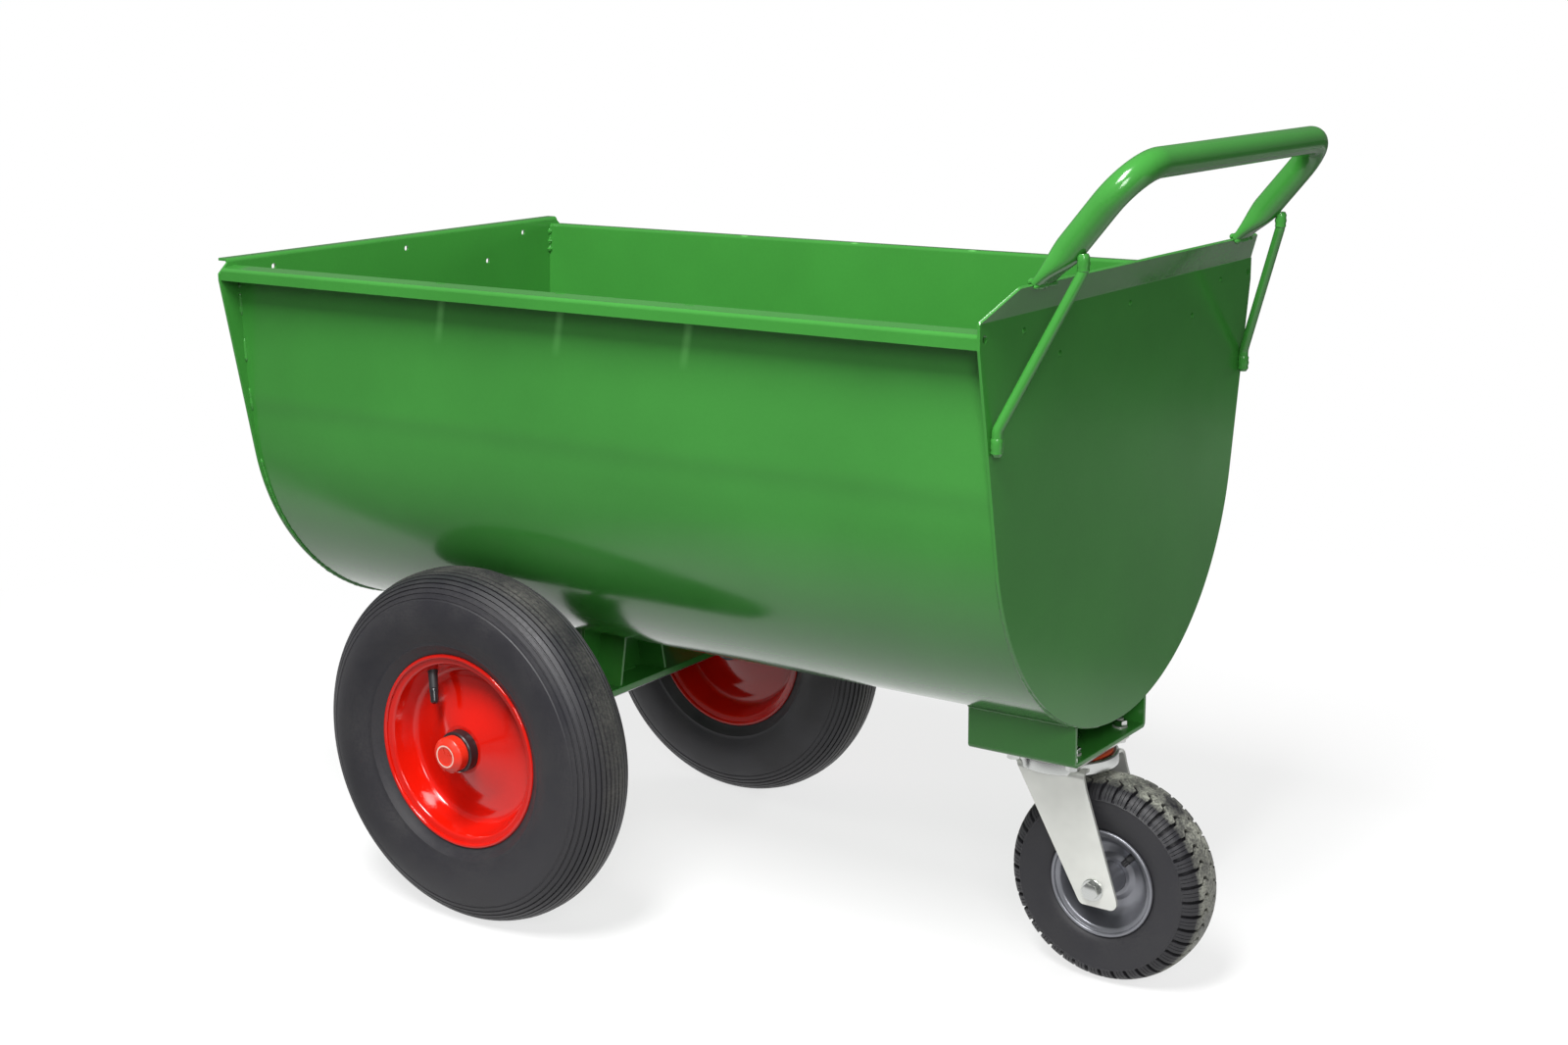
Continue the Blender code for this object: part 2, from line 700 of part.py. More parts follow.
def make_braces():
    """Round bars from the arms' undersides down to the end plate's edges."""
    foot, _, way = arm_line()
    distance = TUBE_RADIUS + BRACE_RADIUS * way.y + GAP
    along = (BRACE_TOP_Z - foot.y + distance * way.x) / way.y
    top = foot + way * along + Vector((way.y, -way.x)) * distance
    seat_x = HANDLE_END_X + BRACE_RADIUS + GAP
    knee_z = BRACE_FOOT_Z + BRACE_FOOT_LENGTH
    for name, side in (("handle_brace_left", -1), ("handle_brace_right", 1)):
        top_y = side * BRACE_TOP_Y
        foot_y = side * (plate_half_width(knee_z) - BRACE_FOOT_INSET)
        corners = [(top.x, top_y, top.y), (top.x, top_y, top.y - BRACE_END_LENGTH),
                   (seat_x, foot_y, knee_z), (seat_x, foot_y, BRACE_FOOT_Z)]
        points = rounded(corners, [BRACE_BEND, BRACE_BEND], 3)
        add(name, round_bar(name, points, BRACE_RADIUS, 2), paint(name + "_paint"))


def plate_half_width(z):
    """Half width of an end plate at a height on its straight flank."""
    foot_y = PLATE_RADIUS * math.cos(PLATE_FLARE)
    foot_z = BELLY_CENTRE_Z - PLATE_RADIUS * math.sin(PLATE_FLARE)
    return min(foot_y + (z - foot_z) * math.tan(PLATE_FLARE), PLATE_HALF_WIDTH)


def make_axle_carrier():
    """Flat bar over the axle, and a web up to the belly with splayed ribs welded to it."""
    bar_z = AXLE_Z + AXLE_RADIUS + GAP + BAR_THICKNESS / 2
    bar = box_mesh("axle_carrier_bar", (BAR_WIDTH, 2 * BAR_HALF_LENGTH, BAR_THICKNESS),
                   (AXLE_X, 0, bar_z))
    add("axle_carrier_bar", bar, paint("carrier_bar_paint"))

    low_z = BAR_TOP_Z + GAP
    crown = [y for y, _ in belly_line(BELLY_RADIUS) if y < WEB_HALF_LENGTH] + [WEB_HALF_LENGTH]
    half = [(y, under_belly(y)) for y in crown] + [(WEB_HALF_LENGTH, low_z)]
    outline = [(-y, z) for y, z in reversed(half[1:])] + half
    place = Matrix.Translation((AXLE_X, 0, 0)) @ UPRIGHT
    mesh = mesh_of_curve(flat_curve("axle_web", [outline], WEB_THICKNESS), place)
    web = add("axle_web", mesh, paint("carrier_web_paint"))

    half = RIB_THICKNESS / 2
    inner_z = under_belly(RIB_TOP_Y - half)
    outer_z = under_belly(RIB_TOP_Y + half)
    outline = [(RIB_FOOT_Y - half, low_z), (RIB_FOOT_Y + half, low_z),
               (RIB_TOP_Y + half, outer_z), (RIB_TOP_Y - half, inner_z)]
    ribs = [mesh_of_curve(flat_curve("rib", [[(side * y, z) for y, z in outline]], 2 * RIB_REACH),
                          place) for side in (-1, 1)]
    boolean(web, add_cutter("axle_ribs", merged_mesh("axle_ribs", ribs)), "UNION")


def make_axle():
    """The fixed axle, its stop collars, and the pressed-on caps with their spring washers."""
    half = CAP_FACE_Y - CAP_WALL - GAP
    along_y = Matrix.Rotation(math.pi / 2, 4, "X")
    rod = rod_mesh("axle_shaft", AXLE_RADIUS, 2 * half, 24, (AXLE_X, 0, AXLE_Z), along_y)
    add("axle_shaft", rod, finish("axle_steel", STEEL, 0.40, 1.0)).data.shade_smooth()

    bore = AXLE_RADIUS + RUNNING_CLEARANCE
    collar_y = HUB_INNER_Y - GAP - STOP_COLLAR_LENGTH / 2
    collar = ring(bore, STOP_COLLAR_RADIUS, -STOP_COLLAR_LENGTH / 2, STOP_COLLAR_LENGTH / 2)
    washer_y = CAP_FACE_Y - CAP_LENGTH + RETAINER_THICKNESS / 2
    washer = ring(bore, CAP_RADIUS - CAP_WALL - GAP, -RETAINER_THICKNESS / 2,
                  RETAINER_THICKNESS / 2)
    for name, side in (("left", -1), ("right", 1)):
        turned("axle_stop_collar_" + name, collar, MAIN.steps,
               finish("collar_steel", STEEL, 0.45, 1.0),
               location=(AXLE_X, side * collar_y, AXLE_Z), rotation=AXIS_LEFT)
        turned("cap_spring_washer_" + name, washer, MAIN.steps, zinc("spring_washer_zinc"),
               location=(AXLE_X, side * washer_y, AXLE_Z), rotation=AXIS_LEFT)

    inside = CAP_RADIUS - CAP_WALL
    shape = [(0.0, 0.0), (CAP_RADIUS - CAP_EDGE, 0.0), (CAP_RADIUS, -CAP_EDGE),
             (CAP_RADIUS, -CAP_LENGTH), (inside, -CAP_LENGTH), (inside, -CAP_WALL),
             (0.0, -CAP_WALL)]
    for name, side, turn in (("hub_cap_left", -1, AXIS_LEFT), ("hub_cap_right", 1, AXIS_RIGHT)):
        turned(name, shape, MAIN.steps, finish(name + "_plastic", ORANGE, 0.35),
               location=(AXLE_X, side * CAP_FACE_Y, AXLE_Z), rotation=turn, closed=False)


def seat_edge(wheel):
    """How far from the middle plane the rim's seat turns up into its flange."""
    return wheel.rim_half_width - 2.8 * wheel.rim_sheet


def on_seat(wheel, side):
    """Radius just above the rim's seat at a distance from the middle plane."""
    return wheel.seat - wheel.well_drop * (1 - side / seat_edge(wheel)) + wheel.rim_sheet / 2 + GAP


def rim_profile(wheel):
    """Middle line of one pressed rim half, from the lip down to the hub."""
    sheet = wheel.rim_sheet
    joint = sheet / 2 + GAP / 2
    return [(wheel.lip - sheet / 2, wheel.rim_half_width - sheet / 2),
            (wheel.lip - 2 * sheet, wheel.rim_half_width - 2 * sheet),
            (wheel.seat, seat_edge(wheel)),
            (wheel.seat - wheel.well_drop, joint),
            (wheel.step_out, joint),
            (wheel.step_in, 0.3 * wheel.disc_out),
            (wheel.hub + 2 * sheet, wheel.disc_out),
            (wheel.hub + GAP, wheel.disc_out)]


def mirrored_loop(half):
    """A clockwise section from its upper half, which starts and ends on the middle plane."""
    lower = [(radius, -side) for radius, side in reversed(half[1:-1])]
    return list(reversed(half + lower))


def tyre_profile(wheel):
    """The tyre's section: rounded casing, beads inside the rim's flanges, open inwards."""
    height = wheel.radius - wheel.lip
    width = wheel.half_width
    sheet = wheel.rim_sheet
    heel = seat_edge(wheel) - sheet / 2 - 2 * GAP
    toe = heel - wheel.sidewall
    return mirrored_loop([
        (wheel.radius, 0.0),
        (wheel.radius - 0.04 * height, 0.52 * width),
        (wheel.radius - 0.22 * height, 0.88 * width),
        (wheel.radius - 0.55 * height, width),
        (wheel.radius - 0.86 * height, 0.85 * width),
        (wheel.lip + 3 * GAP, wheel.rim_half_width - sheet),
        (wheel.lip - 2 * sheet, wheel.rim_half_width - 2.5 * sheet - 2 * GAP),
        (on_seat(wheel, heel) + GAP, heel),
        (on_seat(wheel, toe), toe),
        (wheel.radius - 0.84 * height, 0.85 * width - wheel.sidewall),
        (wheel.radius - 0.55 * height, width - wheel.sidewall),
        (wheel.radius - 0.04 * height - wheel.tread, 0.60 * width),
        (wheel.radius - wheel.tread, 0.0)])


def tube_profile(wheel):
    """The inner tube's section, which fills the tyre's hollow down to the rim."""
    height = wheel.radius - wheel.lip
    width = wheel.half_width
    low = seat_edge(wheel) - 2 * wheel.sidewall
    return inset(mirrored_loop([
        (wheel.radius - wheel.tread, 0.0),
        (wheel.radius - 0.04 * height - wheel.tread, 0.60 * width),
        (wheel.radius - 0.55 * height, width - wheel.sidewall),
        (wheel.radius - 0.84 * height, 0.85 * width - wheel.sidewall),
        (on_seat(wheel, low), low),
        (on_seat(wheel, 0.0), 0.0)]), GAP)


def make_wheel(prefix, wheel, axis, rim_finish):
    """Tyre, inner tube, valve and the two rim halves, about the wheel's own axis."""
    turned(prefix + "_tyre", tyre_profile(wheel), wheel.steps, rubber(prefix + "_tyre_rubber"),
           axis)

    hollow = tube_profile(wheel)
    cavity = list(reversed(inset(hollow, wheel.tube_wall)))
    tube = add(prefix + "_inner_tube", turned_mesh(prefix + "_inner_tube", [hollow, cavity]),
               finish(prefix + "_tube_rubber", BLACK, 0.55), axis)
    screw(tube, wheel.steps)

    spin = Matrix.Rotation(wheel.valve_at, 4, "Z")
    side = VALVE_SIDE * seat_edge(wheel)
    place = spin @ Vector((on_seat(wheel, side), 0.0, side))
    way = spin @ Matrix.Rotation(math.pi / 2 + VALVE_TILT, 4, "Y")
    base = 1.5 * wheel.tube_wall
    middle = place + way.to_3x3() @ Vector((0, 0, (base - wheel.valve_length) / 2))
    valve = rod_mesh(prefix + "_valve", wheel.valve_radius, base + wheel.valve_length, 12,
                     middle, way)
    add(prefix + "_valve", valve, finish(prefix + "_valve_rubber", BLACK, 0.5), axis)

    bore = wheel.valve_radius + GAP
    hole = rod_mesh(prefix + "_rim_cut", bore, 6 * wheel.rim_sheet, 12, place, way)
    through = rod_mesh(prefix + "_tube_cut", bore, 8 * wheel.tube_wall, 12, place, way)
    boolean(tube, add_cutter(prefix + "_tube_cut", through, axis))
    for name, turn in (("_rim_outer_half", 0.0), ("_rim_inner_half", math.pi)):
        half = turned(prefix + name, rim_profile(wheel), wheel.steps, rim_finish(prefix + name),
                      axis, rotation=(turn, 0, 0), closed=False)
        solidify(half, wheel.rim_sheet, 0.0)
        if turn == 0.0:
            boolean(half, add_cutter(prefix + "_rim_cut", hole, axis))


def make_hub(prefix, wheel, axis, half_length, bearing_radius, bearing_length, bore, material):
    """A hub sleeve with a bearing pressed into each end."""
    inside = bearing_radius + GAP
    far = half_length - BEARING_RECESS
    step = far - bearing_length - GAP
    shoulder = bearing_radius - BEARING_SHOULDER
    profile = [(inside, half_length), (wheel.hub, half_length), (wheel.hub, -half_length),
               (inside, -half_length), (inside, -step), (shoulder, -step), (shoulder, step),
               (inside, step)]
    turned(prefix + "_hub_sleeve", profile, wheel.steps, material, axis)
    for name, side in (("_bearing_outer", 1), ("_bearing_inner", -1)):
        low, high = sorted((side * (far - bearing_length), side * far))
        turned(prefix + name, ring(bore, bearing_radius, low, high), wheel.steps,
               finish(prefix + name, STEEL, 0.35, 1.0), axis)


def make_main_wheels():
    """The two large wheels, each on its own axis at the axle's ends."""
    for prefix, side, turn in (("left", -1, AXIS_LEFT), ("right", 1, AXIS_RIGHT)):
        axis = empty(prefix + "_wheel_axis", (AXLE_X, side * WHEEL_TRACK / 2, AXLE_Z), turn)
        make_wheel(prefix, MAIN, axis, red_paint)
        make_hub(prefix, MAIN, axis, HUB_HALF_LENGTH, BEARING_RADIUS, BEARING_LENGTH,
                 AXLE_RADIUS + RUNNING_CLEARANCE, finish(prefix + "_hub_black", BLACK, 0.4))


def make_caster_seat():
    """Channel welded under the belly, and the caster's plate bolted below it."""
    middle_x = HANDLE_END_X - PLATE - CHANNEL_SETBACK - CHANNEL_LENGTH / 2
    inner = CHANNEL_HALF_WIDTH - CHANNEL_THICKNESS
    floor = CHANNEL_Z + CHANNEL_THICKNESS
    half = [(CHANNEL_HALF_WIDTH, CHANNEL_Z),
            (CHANNEL_HALF_WIDTH, under_belly(CHANNEL_HALF_WIDTH)),
            (inner, under_belly(inner)), (inner, floor)]
    outline = half + [(-y, z) for y, z in reversed(half)]
    curve = flat_curve("caster_channel", [outline], CHANNEL_LENGTH)
    mesh = mesh_of_curve(curve, Matrix.Translation((middle_x, 0, 0)) @ UPRIGHT)
    channel = add("caster_channel", mesh, paint("channel_paint"))

    places = [(KINGPIN_X + x * SEAT_BOLT_X, y * SEAT_BOLT_Y) for x in (-1, 1) for y in (-1, 1)]
    hole = SEAT_BOLT_RADIUS + BOLT_CLEARANCE
    drills = [rod_mesh("drill", hole, 4 * CHANNEL_THICKNESS, 12, (x, y, CHANNEL_Z))
              for x, y in places]
    room = KINGPIN_HEAD_RADIUS + KINGPIN_HEAD_CLEARANCE
    drills.append(rod_mesh("drill", room, 4 * CHANNEL_THICKNESS, 20, (KINGPIN_X, 0, CHANNEL_Z)))
    boolean(channel, add_cutter("channel_holes_cut", merged_mesh("channel_holes_cut", drills)))

    x, y = TOP_PLATE_LENGTH / 2, TOP_PLATE_WIDTH / 2
    corners = [Vector((-x, -y)), Vector((x, -y)), Vector((x, y)), Vector((-x, y))]
    outline = rounded_loop(corners, [TOP_PLATE_CORNER] * 4, 4)
    holes = [circle(hole, 12, (side * SEAT_BOLT_X, end * SEAT_BOLT_Y))
             for side in (-1, 1) for end in (-1, 1)]
    holes.append(circle(KINGPIN_RADIUS + RUNNING_CLEARANCE, 20))
    curve = flat_curve("caster_top_plate", [outline, *holes], TOP_PLATE_THICKNESS)
    add("caster_top_plate", curve, zinc("top_plate_zinc"),
        location=(KINGPIN_X, 0, TOP_PLATE_Z + TOP_PLATE_THICKNESS / 2))

    make_seat_fasteners(CHANNEL_Z + CHANNEL_THICKNESS + GAP)


def make_seat_fasteners(nut_z):
    """Four bolts up through plate and channel, each with its nut inside the channel."""
    end_z = nut_z + SEAT_NUT_HEIGHT + SEAT_BOLT_STICKOUT
    corner = SEAT_BOLT_FLATS / math.sqrt(3)
    head_z = TOP_PLATE_Z - GAP - SEAT_BOLT_HEAD / 2
    head = rod_mesh("head", corner, SEAT_BOLT_HEAD, 6, (0, 0, head_z))
    shank = rod_mesh("shank", SEAT_BOLT_RADIUS, end_z - head_z, 12, (0, 0, (head_z + end_z) / 2))
    bolt = solved("caster_plate_bolt", head, shank, "UNION")
    nut = flat_curve("caster_plate_nut", [circle(corner, 6), circle(SEAT_BOLT_RADIUS + GAP, 12)],
                     SEAT_NUT_HEIGHT)
    places = [(x, y) for x in (-SEAT_BOLT_X, SEAT_BOLT_X) for y in (-SEAT_BOLT_Y, SEAT_BOLT_Y)]
    for number, (x, y) in enumerate(places, 1):
        add(f"caster_plate_bolt_{number}", bolt, zinc("seat_bolt_zinc"),
            location=(KINGPIN_X + x, y, 0))
        add(f"caster_plate_nut_{number}", nut, zinc("seat_nut_zinc"),
            location=(KINGPIN_X + x, y, nut_z + SEAT_NUT_HEIGHT / 2))


def make_kingpin():
    """The fixed pin that the caster swivels on, headed above the plate, nut below the fork."""
    head_z = TOP_PLATE_Z + TOP_PLATE_THICKNESS + GAP
    nut_top = FORK_TOP_Z - FORK_THICKNESS - GAP
    end_z = nut_top - KINGPIN_NUT_HEIGHT - KINGPIN_STICKOUT
    top_z = head_z + KINGPIN_HEAD_HEIGHT
    shape = [(0.0, top_z), (0.8 * KINGPIN_HEAD_RADIUS, top_z),
             (KINGPIN_HEAD_RADIUS, head_z + KINGPIN_HEAD_HEIGHT / 2),
             (KINGPIN_HEAD_RADIUS, head_z), (KINGPIN_RADIUS, head_z), (KINGPIN_RADIUS, end_z),
             (0.0, end_z)]
    turned("caster_kingpin", shape, 20, zinc("kingpin_zinc"), location=(KINGPIN_X, 0, 0),
           closed=False)
    nut = flat_curve("kingpin_nut", [circle(KINGPIN_NUT_FLATS / math.sqrt(3), 6),
                                     circle(KINGPIN_RADIUS + GAP, 20)], KINGPIN_NUT_HEIGHT)
    add("kingpin_nut", nut, zinc("kingpin_nut_zinc"),
        location=(KINGPIN_X, 0, nut_top - KINGPIN_NUT_HEIGHT / 2))


def make_swivel():
    """Everything that turns about the kingpin but does not roll."""
    axis = empty("caster_swivel_axis", (KINGPIN_X, 0, 0))
    low, high = HEAD_TOP_Z + GAP, TOP_PLATE_Z - GAP
    turned("caster_seal_ring", ring(SEAL_RADIUS - SEAL_WIDTH, SEAL_RADIUS, low, high), 24,
           finish("seal_plastic", ORANGE, 0.4), axis)
    turned("swivel_ball_race", ring(RACE_RADIUS - RACE_WIDTH, RACE_RADIUS, low, high), 24,
           finish("race_steel", STEEL, 0.3, 1.0), axis)
    bore = KINGPIN_RADIUS + 2 * RUNNING_CLEARANCE
    bottom = FORK_TOP_Z + GAP
    head = [(bore, HEAD_TOP_Z), (HEAD_RADIUS - HEAD_EDGE, HEAD_TOP_Z),
            (HEAD_RADIUS, HEAD_TOP_Z - HEAD_EDGE), (HEAD_RADIUS, bottom + HEAD_TAPER / 2),
            (HEAD_RADIUS - HEAD_TAPER, bottom), (bore, bottom)]
    turned("caster_swivel_head", head, 24, zinc("swivel_head_zinc"), axis)

    wheel_z = SMALL.radius
    top = FORK_TOP_Z
    foot = wheel_z - FORK_TIP_DROP
    half = FORK_HALF_WIDTH
    section = rounded([(-half, foot - 0.010), (-half, top), (half, top), (half, foot - 0.010)],
                      [FORK_BEND, FORK_BEND], 4)
    inner = rounded([(half - FORK_THICKNESS, foot - 0.010), (half - FORK_THICKNESS,
                    top - FORK_THICKNESS), (-half + FORK_THICKNESS, top - FORK_THICKNESS),
                    (-half + FORK_THICKNESS, foot - 0.010)],
                    [FORK_BEND - FORK_THICKNESS, FORK_BEND - FORK_THICKNESS], 4)
    span = 4 * CASTER_TRAIL
    curve = flat_curve("caster_fork", [section + inner], span)
    fork = add("caster_fork", mesh_of_curve(curve, UPRIGHT), zinc("fork_zinc"), axis)

    tip_x = CASTER_TRAIL
    shoulder_z = top - FORK_SHOULDER_DROP
    side_view = rounded_loop([Vector((FORK_FRONT_X, top + 0.005)),
                              Vector((FORK_FRONT_X, top - 0.002)),
                              Vector((tip_x - FORK_TIP_FRONT, foot)),
                              Vector((tip_x + FORK_TIP_BACK, foot)),
                              Vector((FORK_BACK_X + FORK_SHOULDER_OUT, shoulder_z)),
                              Vector((FORK_BACK_X, top + 0.005))],
                             [0.0005, 0.002, FORK_TIP_RADIUS, FORK_TIP_RADIUS, 0.010, 0.0005], 4)
    side_curve = flat_curve("fork_side_cut", [side_view], 4 * half)
    stand = Matrix.Rotation(math.pi / 2, 4, "X")
    boolean(fork, add_cutter("fork_side_cut", mesh_of_curve(side_curve, stand), axis), "INTERSECT")
    across = Matrix.Rotation(math.pi / 2, 4, "X")
    drills = [rod_mesh("drill", CASTER_BOLT_RADIUS + BOLT_CLEARANCE, 4 * half, 16,
                       (tip_x, 0, wheel_z), across),
              rod_mesh("drill", KINGPIN_RADIUS + 2 * RUNNING_CLEARANCE, 0.030, 20, (0, 0, top))]
    boolean(fork, add_cutter("fork_holes_cut", merged_mesh("fork_holes_cut", drills), axis))
    make_caster_axle(axis, tip_x, wheel_z)


def make_caster_axle(axis, tip_x, wheel_z):
    """The caster wheel's bolt, nut and two spacers, held by the fork."""
    half = FORK_HALF_WIDTH
    across = Matrix.Rotation(math.pi / 2, 4, "X")
    corner = CASTER_BOLT_FLATS / math.sqrt(3)
    head_y = -half - GAP - CASTER_BOLT_HEAD / 2
    head = rod_mesh("caster_axle_bolt", corner, CASTER_BOLT_HEAD, 6, (0, head_y, 0), across)
    place = (tip_x, 0, wheel_z)
    bolt = add("caster_axle_bolt", head, zinc("axle_bolt_zinc"), axis, place)
    end_y = half + GAP + CASTER_NUT_HEIGHT + CASTER_BOLT_STICKOUT
    shank = rod_mesh("shank", CASTER_BOLT_RADIUS, end_y - head_y, 16, (0, (head_y + end_y) / 2, 0),
                     across)
    boolean(bolt, add_cutter("axle_bolt_shank", shank, axis, place), "UNION")
    nut = flat_curve("caster_axle_nut", [circle(corner, 6), circle(CASTER_BOLT_RADIUS + GAP, 16)],
                     CASTER_NUT_HEIGHT)
    add("caster_axle_nut", nut, zinc("axle_nut_zinc"), axis,
        (tip_x, half + GAP + CASTER_NUT_HEIGHT / 2, wheel_z), AXIS_LEFT)

    low = CASTER_HUB_HALF_LENGTH + GAP
    high = half - FORK_THICKNESS - GAP
    length = high - low
    middle = (low + high) / 2
    spacer = ring(CASTER_BOLT_RADIUS + RUNNING_CLEARANCE, SPACER_RADIUS, -length / 2, length / 2)
    for name, side in (("left", -1), ("right", 1)):
        turned("caster_axle_spacer_" + name, spacer, 20, zinc("spacer_zinc"), axis,
               (tip_x, side * middle, wheel_z), AXIS_LEFT)
    wheel_axis = empty("caster_wheel_axis", place, AXIS_LEFT, axis)
    make_wheel("caster", SMALL, wheel_axis, grey_paint)
    make_hub("caster", SMALL, wheel_axis, CASTER_HUB_HALF_LENGTH, CASTER_BEARING_RADIUS,
             CASTER_BEARING_LENGTH, CASTER_BOLT_RADIUS + RUNNING_CLEARANCE,
             grey_paint("caster_hub_grey"))


for old in list(bpy.data.objects):
    bpy.data.objects.remove(old)
parts = collection("feed_cart")
cutters = collection("cutters")

make_trough()
make_handle_end_plate()
make_front_plate()
make_handle()
make_braces()
make_axle_carrier()
make_axle()
make_main_wheels()
make_caster_seat()
make_kingpin()
make_swivel()
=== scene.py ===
"""Feed cart, dressed for its photograph.

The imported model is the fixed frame: every piece here stands in its place there and moves with
its bodies. Metres, +Z up, handle end at +X, the photographed side at -Y.
"""
import math

import bmesh
import bpy
from mathutils import Matrix, Vector, noise


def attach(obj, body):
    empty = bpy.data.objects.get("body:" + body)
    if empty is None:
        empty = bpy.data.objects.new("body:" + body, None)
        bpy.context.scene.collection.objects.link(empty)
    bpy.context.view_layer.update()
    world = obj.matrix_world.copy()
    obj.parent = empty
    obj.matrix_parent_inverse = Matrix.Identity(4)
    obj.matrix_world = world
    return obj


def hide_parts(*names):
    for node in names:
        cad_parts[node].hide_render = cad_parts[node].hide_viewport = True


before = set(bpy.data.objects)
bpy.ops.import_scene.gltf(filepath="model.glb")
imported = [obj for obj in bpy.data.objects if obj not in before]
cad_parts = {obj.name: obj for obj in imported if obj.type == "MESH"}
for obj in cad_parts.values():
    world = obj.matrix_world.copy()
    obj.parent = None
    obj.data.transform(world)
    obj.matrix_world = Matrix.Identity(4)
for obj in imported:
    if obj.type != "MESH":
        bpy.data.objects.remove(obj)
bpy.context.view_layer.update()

# Trough sheet: one blank of 2 mm steel, rolled to a half-round belly with leaning walls, its two
# long edges folded out and down as rims, each with three slits. Sprayed with glossy green enamel,
# with a pale run of light painted down the wall under each slit.
SHEET = 0.002
SHEET_EDGE = 0.0004
PLATE = 0.003
INTO_PLATE = 0.0002
FRONT_X = -0.541
HANDLE_END_X = 0.433
BELLY_RADIUS = 0.2615
BELLY_CENTRE_Z = 0.542
BELLY_STEPS = 48
WALL_LEAN = math.radians(2.6)
WALL_TOP_Y = 0.2695
WALL_POINTS_Z = (0.537, 0.544, 0.552, 0.560, 0.569, 0.578, 0.582)
RIM_Z = 0.7123
RIM_WIDTH = 0.026
RIM_DEPTH = 0.0156
RIM_BEND = 0.004
RIM_SLOPE = math.radians(4.6)
SLIT_PLACES = (-0.223, -0.061, 0.101)
SLIT_LENGTH = 0.012
SLIT_WIDTH = 0.003
SLIT_Y = 0.2735
GREEN = (0.043, 0.236, 0.036, 1.0)
GREEN_GLOSS = 0.15
SHEET_WAVES = 0.00012
ORANGE_PEEL = 0.000006
# How far the rolled sheet stands inside the true round, from the bend at the wall's foot down
DRAWN_IN = ((0.560, 0.0), (0.552, 0.0010), (0.544, 0.0018), (0.537, 0.0023), (0.510, 0.0034),
            (0.470, 0.0036), (0.420, 0.0027), (0.360, 0.0012), (0.310, 0.0))
# Painted light: a pale run down the outer wall under each slit, painted into the enamel where
# light falling through the slit would lie. Where it fades in, how it leans as light from a lamp
# off to one side would, its soft edge to either side, and how far past the outer slits the last
# runs may reach
PAINTED_LIGHT_GREEN = (0.200, 0.620, 0.170, 1.0)
SLIT_LIGHT_SHARE = 0.5
SLIT_LIGHT_FADE_Z = (0.645, 0.685)
SLIT_LIGHT_SLANT = 0.22
SLIT_LIGHT_EDGE = (0.0015, 0.0065)
SLIT_LIGHT_BEYOND = 0.02
# What a noise node's values mostly lie between
NOISE_SPAN = (0.32, 0.68)
SMOOTH_ANGLE = math.radians(35.0)


def add_node(tree, kind, sockets=None, **settings):
    """A shader node, with its settings, and a value or a link for each socket named."""
    made = tree.nodes.new(kind)
    for key, value in settings.items():
        setattr(made, key, value)
    for key, value in (sockets or {}).items():
        if isinstance(value, bpy.types.NodeSocket):
            tree.links.new(value, made.inputs[key])
        else:
            made.inputs[key].default_value = value
    return made


def math_of(tree, operation, *values, **settings):
    """What a Math node makes of its values or links."""
    return add_node(tree, "ShaderNodeMath", dict(enumerate(values)), operation=operation,
                    **settings).outputs[0]


def ranged(tree, value, start, end, low=0.0, high=1.0):
    """A value held between start and end, which become low and high."""
    sockets = {"Value": value, "From Min": start, "From Max": end, "To Min": low, "To Max": high}
    return add_node(tree, "ShaderNodeMapRange", sockets).outputs["Result"]


def mixed_colour(tree, share, colour, other):
    """The colour, with a share of the other."""
    sockets = {0: share, 6: colour, 7: other}
    return add_node(tree, "ShaderNodeMix", sockets, data_type="RGBA").outputs[2]


def shaded_by(tree, colour, shade):
    """The colour made darker or lighter by a factor."""
    sockets = {0: colour, "Scale": shade}
    return add_node(tree, "ShaderNodeVectorMath", sockets, operation="SCALE").outputs["Vector"]


def own_place(tree):
    """Where a spot is in the piece's own axes."""
    return add_node(tree, "ShaderNodeTexCoord").outputs["Object"]


def fine_noise(tree, place, scale, detail, low, high):
    """A noise over the surface, stretched to run from low to high."""
    cloud = add_node(tree, "ShaderNodeTexNoise", {"Vector": place, "Scale": scale,
                                                  "Detail": detail, "Roughness": 0.55})
    return ranged(tree, cloud.outputs["Fac"], *NOISE_SPAN, low, high)


def bumped(tree, height, distance, **under):
    """The normal of a surface raised by a height, over an earlier one where it is given."""
    sockets = {"Height": height, "Distance": distance, **under}
    return add_node(tree, "ShaderNodeBump", sockets).outputs["Normal"]


def effect_group(name, inputs):
    """A new group for a finish, which gives colour, gloss and normal: its tree and its inputs."""
    tree = bpy.data.node_groups.new(name, "ShaderNodeTree")
    for label, value in inputs.items():
        kind = "NodeSocketColor" if isinstance(value, tuple) else "NodeSocketFloat"
        socket = tree.interface.new_socket(label, in_out="INPUT", socket_type=kind)
        socket.default_value = value
    for label, kind in (("Colour", "NodeSocketColor"), ("Roughness", "NodeSocketFloat"),
                        ("Normal", "NodeSocketVector")):
        tree.interface.new_socket(label, in_out="OUTPUT", socket_type=kind)
    return tree, tree.nodes.new("NodeGroupInput").outputs


def group_out(tree, colour, rough, normal):
    """Sends a group's colour, gloss and normal out of it."""
    add_node(tree, "NodeGroupOutput", {"Colour": colour, "Roughness": rough, "Normal": normal})


